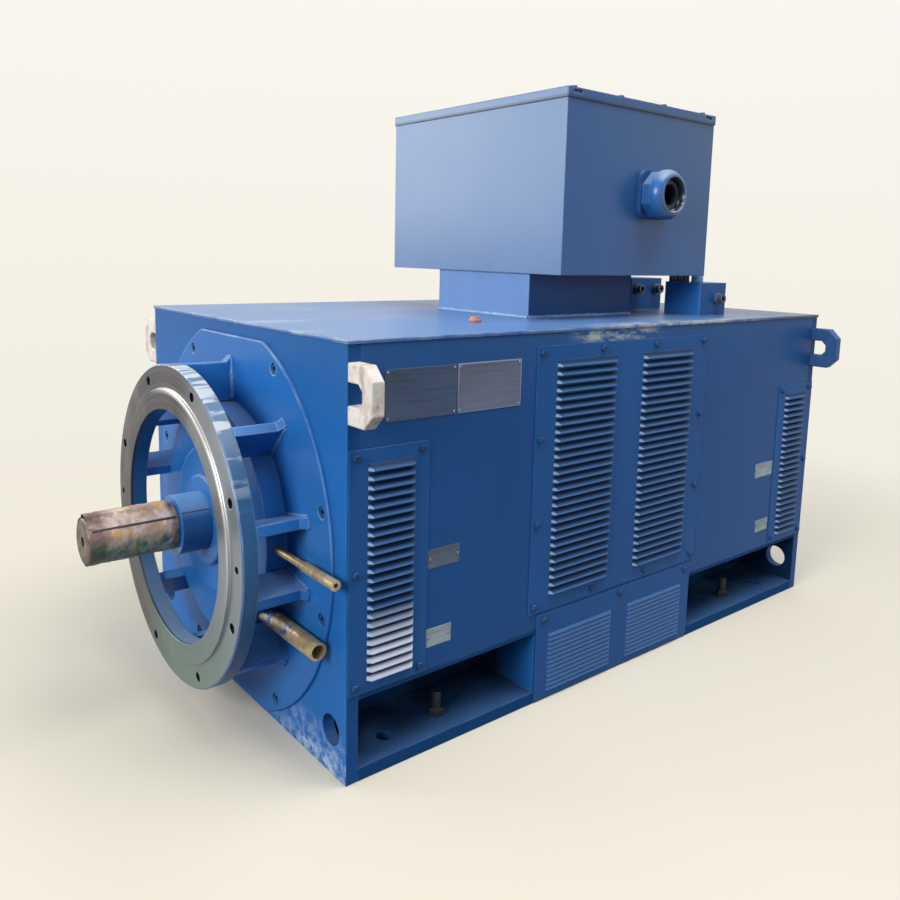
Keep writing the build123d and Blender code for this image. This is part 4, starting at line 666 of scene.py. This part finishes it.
def weld_bead(name, start, end, radius, material):
    """A rippled bead from one point to another, half sunk in the corner that it fills."""
    run = end - start
    along = run.normalized()
    piece = begin("cylinder", vertices=10, radius=radius, depth=run.length,
                  location=(start + end) / 2, rotation=run.to_track_quat("Z", "Y").to_euler())
    select_parts(piece, "EDGE", lambda edge: abs(edge_run(piece, edge).normalized().dot(along)) > 0.9)
    cuts = max(4, min(90, int(run.length / (radius * 0.9))))
    bpy.ops.mesh.subdivide(number_cuts=cuts)
    modify(piece, "DISPLACE", texture=ripple, texture_coords="LOCAL", strength=radius * 0.9, mid_level=0.5)
    complete(piece, name, material, angle=60.0)


RIB_ANGLES = (90, 45, 12, -12, -45, -90, -135, -168, 168, 135)
RIB_HALF, RIB_ROOT, HUB_EDGE, RIM_FRONT = 0.0125, 0.410, 0.306, -0.948
WELD_RADIUS = 0.006
for index, angle in enumerate(math.radians(degrees) for degrees in RIB_ANGLES):
    outward = Vector((0.0, -math.cos(angle), math.sin(angle)))
    across = Vector((0.0, math.sin(angle), math.cos(angle)))
    centre = Vector((RIM_FRONT, 0.0, SHAFT_HEIGHT))
    for side, offset in (("right", -RIB_HALF), ("left", RIB_HALF)):
        start = centre + outward * HUB_EDGE + across * offset
        end = centre + outward * RIB_ROOT + across * offset
        weld_bead("rib_weld_%d_%s" % (index + 1, side), start, end, WELD_RADIUS, shield_enamel)

# Bearing parts and grease pipes: ground steel rings and rollers, cast inner caps, and yellow-plated
# grease pipes with blue overspray.
bearing_steel = metal("bearing_steel", (0.62, 0.62, 0.63, 1), (0.50, 0.50, 0.52, 1), 0.18, 40.0)
dress(bearing_steel, "drive_bearing_outer_ring", "drive_bearing_inner_ring", "drive_bearing_roller_set",
      "rear_bearing_outer_ring", "rear_bearing_inner_ring", "rear_bearing_ball_set")
dress(metal("cap_cast_iron", (0.10, 0.10, 0.11, 1), (0.06, 0.06, 0.07, 1), 0.55, 70.0, 0.6, 0.8),
      "drive_inner_bearing_cap", "rear_inner_bearing_cap")
pipe_metal, tree, shader = surface("yellow_plated_pipe", 0.5, 0.0, 0.55)
where, axes = place_in(tree)
clouds = noise(tree, where, 28.0, 5.0, 0.6)
tone = blend(tree, spread(tree, clouds, 0.35, 0.65), (0.60, 0.47, 0.24, 1), (0.36, 0.26, 0.14, 1))
near_hub = times(tree, spread(tree, axes["Y"], -0.40, -0.20), 0.30)
spray = sums(tree, "ADD", near_hub, noise(tree, where, 22.0, 6.0, 0.7))
tone = blend(tree, spread(tree, spray, 0.60, 0.72), tone, LIT_END_BLUE)
flecks = spread(tree, noise(tree, where, 70.0, 4.0), 0.58, 0.66, 0.0, 0.8)
tone = blend(tree, flecks, tone, (0.66, 0.62, 0.48, 1))
finish(tree, shader, tone, spread(tree, clouds, 0.3, 0.7, 0.28, 0.45), noise(tree, where, 190.0, 3.0), 0.3,
       None, 0.0005)
dress(pipe_metal, "grease_inlet_pipe", "grease_outlet_pipe")

# Shaft: one forging, its coupling seat protected by a taped wrap, its collar painted blue.
# The key sits under the wrap.
COLLAR_FROM, COLLAR_TO = -1.1085, -0.99
shaft_metal, tree, shader = surface("shaft_steel_and_enamel", 0.4)
where, axes = place_in(tree)
rings = turning(tree, sums(tree, "ADD", axes["X"], 3.0), 900.0)
rust = noise(tree, where, 34.0, 6.0, 0.65)
steel = blend(tree, spread(tree, rust, 0.40, 0.62), (0.17, 0.13, 0.12, 1), (0.10, 0.065, 0.05, 1))
# The collar takes a bright blue through the dust input on its upper side: a painted highlight.
painted = use(tree, enamel, {"Paint": (0.012, 0.070, 0.220, 1), "Lit end paint": LIT_END_BLUE, "Dust amount": 0.9,
                             "Dust and lit top": (0.17, 0.38, 0.66, 1), "Gloss": 0.24})
is_collar = times(tree, sums(tree, "GREATER_THAN", axes["X"], COLLAR_FROM),
                  sums(tree, "LESS_THAN", axes["X"], COLLAR_TO))
rough = either(tree, is_collar, spread(tree, rust, 0.3, 0.7, 0.30, 0.60), painted["Roughness"])
finish(tree, shader, blend(tree, is_collar, steel, painted["Colour"]), rough, rings, 0.2,
       use(tree, edges, {"Radius": 0.003})["Normal"], 0.0003)
bare = sums(tree, "SUBTRACT", 1.0, is_collar)
tree.links.new(times(tree, bare, 0.75), shader.inputs["Metallic"])
dress(shaft_metal, "shaft", "shaft_key")

# The wrap is a tube that lies on the shaft and stands up over the key.
WRAP_RADIUS, WRAP_FROM, WRAP_TO = 0.0568, -1.3125, -1.1080
KEY_PROUD, KEY_HALF, KEY_TO = 0.0070, 0.0165, -1.116
KEY_ABOVE = SHAFT_HEIGHT + 0.03
wrap = begin("cylinder", vertices=120, radius=WRAP_RADIUS, depth=WRAP_TO - WRAP_FROM,
             end_fill_type="NOTHING", location=((WRAP_FROM + WRAP_TO) / 2, 0, SHAFT_HEIGHT),
             rotation=(0, math.pi / 2, 0))
select_parts(wrap, "EDGE", lambda edge: abs(edge_run(wrap, edge).x) > 0.01)
bpy.ops.mesh.subdivide(number_cuts=60)
select_parts(wrap, "VERT",
             lambda point: abs(point.co.y) < KEY_HALF and point.co.z > KEY_ABOVE and point.co.x < KEY_TO)
bpy.ops.transform.translate(value=(0, 0, KEY_PROUD))
crumple = bpy.data.textures.new("wrap_crumple", "CLOUDS")
crumple.noise_scale = 0.016
modify(wrap, "DISPLACE", texture=crumple, texture_coords="LOCAL", strength=0.0042, mid_level=0.30)
modify(wrap, "SOLIDIFY", thickness=0.0006, offset=-1.0)

# Its film is brown and ochre above, and green and darker below, partly its print and partly painted shade;
# it is darker at both ends.
wrap_film, tree, shader = surface("wrap_film", 0.45)
where, axes = place_in(tree)
above = spread(tree, sums(tree, "ADD", axes["Z"], times(tree, axes["Y"], -0.10)), 0.470, 0.500)
first_spots = noise(tree, where, 30.0, 4.0, 0.6)
second_spots = noise(tree, where, 34.0, 4.0, 0.6, (1.0, 1.0, 1.0), (3.1, 0.4, 0.2))
third_spots = noise(tree, where, 26.0, 5.0, 0.65, (0.7, 1.0, 1.0), (0.3, 5.2, 1.7))
top = blend(tree, spread(tree, first_spots, 0.42, 0.60), (0.52, 0.40, 0.36, 1), (0.36, 0.24, 0.20, 1))
top = blend(tree, spread(tree, second_spots, 0.52, 0.60, 0.0, 0.9), top, (0.58, 0.34, 0.09, 1))
top = blend(tree, spread(tree, third_spots, 0.58, 0.66, 0.0, 0.8), top, (0.66, 0.58, 0.52, 1))
base = blend(tree, spread(tree, second_spots, 0.42, 0.58), (0.27, 0.24, 0.15, 1), (0.04, 0.13, 0.11, 1))
base = blend(tree, spread(tree, third_spots, 0.50, 0.60, 0.0, 0.9), base, (0.03, 0.10, 0.13, 1))
base = blend(tree, spread(tree, first_spots, 0.56, 0.64, 0.0, 0.8), base, (0.36, 0.31, 0.26, 1))
tone = blend(tree, above, base, top)
tone = blend(tree, spread(tree, axes["X"], -1.262, -1.285, 0.0, 0.85), tone,
             blend(tree, above, (0.030, 0.055, 0.045, 1), (0.11, 0.060, 0.058, 1)))
tone = blend(tree, spread(tree, axes["X"], -1.130, -1.118, 0.0, 0.8), tone, (0.055, 0.050, 0.050, 1))
creases = noise(tree, where, 140.0, 4.0, 0.6)
finish(tree, shader, tone, spread(tree, first_spots, 0.3, 0.7, 0.30, 0.55), creases, 0.5, None, 0.0006)
complete(wrap, "shaft_end_wrap", wrap_film, "rotor", 50.0)

# The wrap's lapped seam, and a thin dark line along the collar in line with it, on the side towards the
# plates.
SEAM_ANGLE = math.radians(37.0)
seam_black = metal("seam_tape", (0.020, 0.016, 0.016, 1), (0.035, 0.025, 0.02, 1), 0.55, 60.0, 0.0, 0.3)


def strip_along_shaft(name, x0, x1, radius, width, lift):
    """A narrow strip that lies along the shaft at the seam's angle."""
    outward = Vector((0.0, -math.cos(SEAM_ANGLE), math.sin(SEAM_ANGLE)))
    centre = Vector(((x0 + x1) / 2, 0.0, SHAFT_HEIGHT)) + outward * (radius + lift / 2)
    piece = begin("cube", size=1.0, location=centre, rotation=(math.pi / 2 - SEAM_ANGLE, 0, 0),
                  scale=(x1 - x0, width, lift))
    bpy.ops.object.mode_set(mode="EDIT")
    bpy.ops.mesh.select_all(action="SELECT")
    bpy.ops.mesh.subdivide(number_cuts=6)
    modify(piece, "BEVEL", width=lift * 0.3, segments=1, limit_method="ANGLE")
    complete(piece, name, seam_black, "rotor")


strip_along_shaft("wrap_seam", -1.306, -1.112, 0.0578, 0.0048, 0.0016)
strip_along_shaft("collar_dark_line", -1.104, -1.034, 0.0735, 0.0026, 0.0010)

# Inside: laminated cores, copper winding, cast aluminium cage and fans, supports and baffles.
# They are bare, varnished or zinc plated, and seen only through gaps.
core_steel, tree, shader = surface("laminated_core_steel", 0.5, 0.0, 0.8)
where = put(tree, "ShaderNodeTexCoord").outputs["Object"]
sheets = noise(tree, where, 1.0, 2.0, 0.5, (900.0, 3.0, 3.0))
tone = blend(tree, spread(tree, sheets, 0.35, 0.65), (0.11, 0.10, 0.10, 1), (0.22, 0.21, 0.21, 1))
finish(tree, shader, tone, spread(tree, sheets, 0.3, 0.7, 0.40, 0.58), sheets, 0.5, None, 0.0004)
dress(core_steel, "stator_core", "rotor_core")
winding_copper, tree, shader = surface("varnished_winding_copper", 0.5, 0.4, 0.5)
where = put(tree, "ShaderNodeTexCoord").outputs["Object"]
strands = noise(tree, where, 1.0, 3.0, 0.6, (40.0, 300.0, 300.0))
tone = blend(tree, spread(tree, strands, 0.35, 0.65), (0.42, 0.14, 0.05, 1), (0.24, 0.07, 0.03, 1))
finish(tree, shader, tone, spread(tree, strands, 0.3, 0.7, 0.28, 0.45), strands, 0.6, None, 0.001)
dress(winding_copper, "stator_winding")
dress(metal("cast_aluminium", (0.60, 0.60, 0.61, 1), (0.48, 0.48, 0.50, 1), 0.42, 60.0, 1.0, 0.6),
      "rotor_cage", "cooling_fans")
dress(metal("support_zinc", (0.48, 0.49, 0.50, 1), (0.36, 0.37, 0.39, 1), 0.36, 25.0), "stator_supports",
      "air_baffles")

# Terminal box on its neck: folded steel boxes in glossier enamel, a welded neck on the roof, a
# gasket and a screwed lid. Resin insulators stand inside. Faces towards the ends get a pale copy
# of the paint as painted reflection, painted shade darkens the lid's skirt over the gap under it,
# and a painted sheen greys the right-hand wall towards the rear.
box_enamel, tree, shader, colour = worn_and_highlit_paint("terminal_box_enamel", (0.014, 0.078, 0.235, 1),
                                                (0.075, 0.160, 0.320, 1), (0.30, 0.42, 0.58, 1), 0.20,
                                                0.26, 0.50, 0.005, 0.5, 0.15)
axes = place_in(tree)[1]
lid_gap_shade = times(tree, spread(tree, axes["Z"], 1.5735, 1.5750), spread(tree, axes["Z"], 1.5830, 1.5800), 0.8)
colour = blend(tree, lid_gap_shade, colour, (0.010, 0.030, 0.080, 1))
wall_sheen = times(tree, spread(tree, axes["X"], -0.15, 0.45), spread(tree, axes["Z"], 1.15, 1.50),
               spread(tree, axes["Y"], -0.388, -0.392), 0.5)
recolour(shader, blend(tree, wall_sheen, colour, (0.060, 0.115, 0.200, 1)))
dress(box_enamel, "terminal_box", "terminal_box_lid")
# The neck's sides are painted much darker than its end faces, as shade under the box.
neck_enamel = worn_and_highlit_paint("neck_enamel", (0.004, 0.046, 0.165, 1), (0.100, 0.205, 0.430, 1),
                           (0.30, 0.42, 0.60, 1), 0.3, 0.30, 0.22, 0.004, 0.6)[0]
dress(neck_enamel, "terminal_box_neck")
lead_enamel = worn_and_highlit_paint("lead_box_enamel", (0.012, 0.072, 0.225, 1), (0.024, 0.130, 0.420, 1),
                           (0.30, 0.42, 0.60, 1), 0.3, 0.30, 0.16, 0.004, 0.6)[0]
dress(lead_enamel, "sensor_lead_box", "heater_lead_box")
dress(metal("gasket_rubber", (0.012, 0.014, 0.018, 1), (0.022, 0.024, 0.028, 1), 0.60, 50.0, 0.0, 0.3),
      "terminal_box_gasket")
dress(metal("insulator_resin", (0.22, 0.05, 0.03, 1), (0.16, 0.035, 0.02, 1), 0.22, 30.0, 0.0, 0.1),
      "terminal_insulators")
ROOF_TOP, WELD_RISE = 0.980, 0.001
NECK_LEFT, NECK_RIGHT, NECK_FRONT, NECK_BACK = -0.165, 0.283, -0.265, 0.149
weld_paint = worn_and_highlit_paint("weld_enamel", (0.05, 0.15, 0.36, 1), (0.10, 0.24, 0.48, 1), (0.45, 0.55, 0.70, 1),
                          0.6, 0.30, 0.30, 0.003, 0.8)[0]
corners = [Vector((x, y, ROOF_TOP + WELD_RISE)) for x, y in (
    (NECK_LEFT, NECK_FRONT), (NECK_RIGHT, NECK_FRONT), (NECK_RIGHT, NECK_BACK), (NECK_LEFT, NECK_BACK))]
for index, corner in enumerate(corners):
    weld_bead("neck_weld_%d" % (index + 1), corner, corners[(index + 1) % 4], WELD_RADIUS, weld_paint)

# Main cable gland: a square foot, a body with flats, a bulging nut with a wide mouth and a rubber
# seal, on the box's right-hand wall. All of it has been sprayed over. Painted shade darkens the
# foot, and the mouth is painted dark as shade, with pale specks low down.
gland_enamel = worn_and_highlit_paint("gland_enamel", (0.012, 0.066, 0.200, 1), (0.022, 0.105, 0.300, 1),
                            (0.30, 0.46, 0.70, 1), 0.85, 0.24, 0.35, 0.004, 0.7)[0]
gland_foot_shaded_enamel = worn_and_highlit_paint("gland_foot_shaded_enamel", (0.010, 0.058, 0.180, 1), (0.012, 0.070, 0.220, 1),
                                 (0.10, 0.18, 0.32, 1), 0.3, 0.36, 0.18, 0.003, 0.3)[0]
dress(gland_foot_shaded_enamel, "main_gland_body")
GLAND_X, GLAND_Z = 0.200, 1.341
flats = begin("cylinder", vertices=8, radius=0.0705, depth=0.030, location=(GLAND_X, -0.421, GLAND_Z),
              rotation=(math.pi / 2, math.pi / 8, 0))
select_parts(flats, "FACE", lambda face: face.normal.y < -0.9)
bpy.ops.mesh.inset(thickness=0.004, depth=0.003)
modify(flats, "BEVEL", width=0.0030, segments=3, limit_method="ANGLE")
complete(flats, "main_gland_flats", gland_enamel)
nut = begin("cylinder", vertices=64, radius=0.0715, depth=0.013, location=(GLAND_X, -0.4455, GLAND_Z),
            rotation=(math.pi / 2, 0, 0))
select_parts(nut, "FACE", lambda face: face.normal.y < -0.9)
BULGE = ((0.003, 0.008), (0.006, 0.009), (0.007, 0.006), (0.005, 0.001))
MOUTH = ((0.003, -0.004), (0.002, -0.014), (0.003, -0.016))
for thickness, depth in BULGE + MOUTH:
    bpy.ops.mesh.inset(thickness=thickness, depth=depth)
bpy.ops.mesh.delete(type="ONLY_FACE")
bpy.ops.object.mode_set(mode="OBJECT")
gland_nut_enamel, tree, shader, colour = worn_and_highlit_paint("gland_nut_enamel", (0.014, 0.070, 0.205, 1), LIT_END_BLUE,
                                                      (0.34, 0.50, 0.72, 1), 0.9, 0.20, 0.50, 0.004, 0.8)
where, axes = place_in(tree)
radius = distance_from(tree, where, (GLAND_X, 0.0, GLAND_Z), (1.0, 0.0, 1.0))
below = sums(tree, "LESS_THAN", sums(tree, "SUBTRACT", axes["Z"], GLAND_Z), -0.012)
speck = times(tree, spread(tree, noise(tree, where, 38.0, 3.0, 0.5), 0.50, 0.56), below)
dark = blend(tree, speck, (0.010, 0.018, 0.032, 1), (0.42, 0.46, 0.50, 1))
recolour(shader, blend(tree, spread(tree, radius, 0.0500, 0.0478), colour, dark))
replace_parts(complete(nut, "main_gland_bulging_nut", gland_nut_enamel), "main_gland_nut")
dress(metal("gland_seal_rubber", (0.010, 0.016, 0.030, 1), (0.020, 0.032, 0.055, 1), 0.50, 40.0, 0.0, 0.3),
      "main_gland_seal")

# Small glands: nylon ones on the two lead boxes, and four short upright ones on top of the sensor
# box, beside the terminal box. Three are black, and one is sprayed light blue.
dress(metal("gland_dark_nylon", (0.055, 0.075, 0.120, 1), (0.025, 0.035, 0.060, 1), 0.40, 60.0, 0.0, 0.3,
            (0.60, 0.66, 0.74, 1)), "lead_box_glands")
upright_dark = metal("upright_gland_dark", (0.020, 0.028, 0.055, 1), (0.010, 0.014, 0.030, 1), 0.45,
                     60.0, 0.0, 0.3)
upright_light = metal("upright_gland_light", (0.16, 0.32, 0.55, 1), (0.12, 0.26, 0.48, 1), 0.35,
                      60.0, 0.0, 0.3)
SENSOR_BOX_TOP, UPRIGHT_TOP = 1.083, 1.1058
UPRIGHTS = ((0.502, -0.262, 0.011, upright_dark), (0.503, -0.288, 0.011, upright_dark),
            (0.504, -0.314, 0.011, upright_dark), (0.512, -0.352, 0.019, upright_light))
for index, (x, y, radius, material) in enumerate(UPRIGHTS):
    upright = begin("cylinder", vertices=24, radius=radius, depth=UPRIGHT_TOP - SENSOR_BOX_TOP,
                    location=(x, y, (UPRIGHT_TOP + SENSOR_BOX_TOP) / 2))
    select_parts(upright, "FACE", lambda face: face.normal.z > 0.9)
    bpy.ops.mesh.inset(thickness=0.002, depth=-0.004)
    modify(upright, "BEVEL", width=0.0010, segments=2, limit_method="ANGLE")
    complete(upright, "upright_gland_%d" % (index + 1), material, angle=50.0)

# Roof cap: a small red plastic plug pressed into a spare threaded hole in the roof, between the
# neck and the drive end. It has a flat rim and a dished top.
cap_plastic = metal("roof_cap_plastic", (0.42, 0.17, 0.15, 1), (0.30, 0.13, 0.12, 1), 0.42, 50.0, 0.0, 0.3,
                    (0.60, 0.35, 0.30, 1))
cap = begin("cylinder", vertices=32, radius=0.017, depth=0.008, location=(-0.400, -0.307, ROOF_TOP + 0.004))
select_parts(cap, "FACE", lambda face: face.normal.z > 0.9)
for thickness, depth in ((0.004, 0.0), (0.0, 0.007), (0.003, -0.002)):
    bpy.ops.mesh.inset(thickness=thickness, depth=depth)
modify(cap, "BEVEL", width=0.0012, segments=2, limit_method="ANGLE")
complete(cap, "roof_hole_cap", cap_plastic)
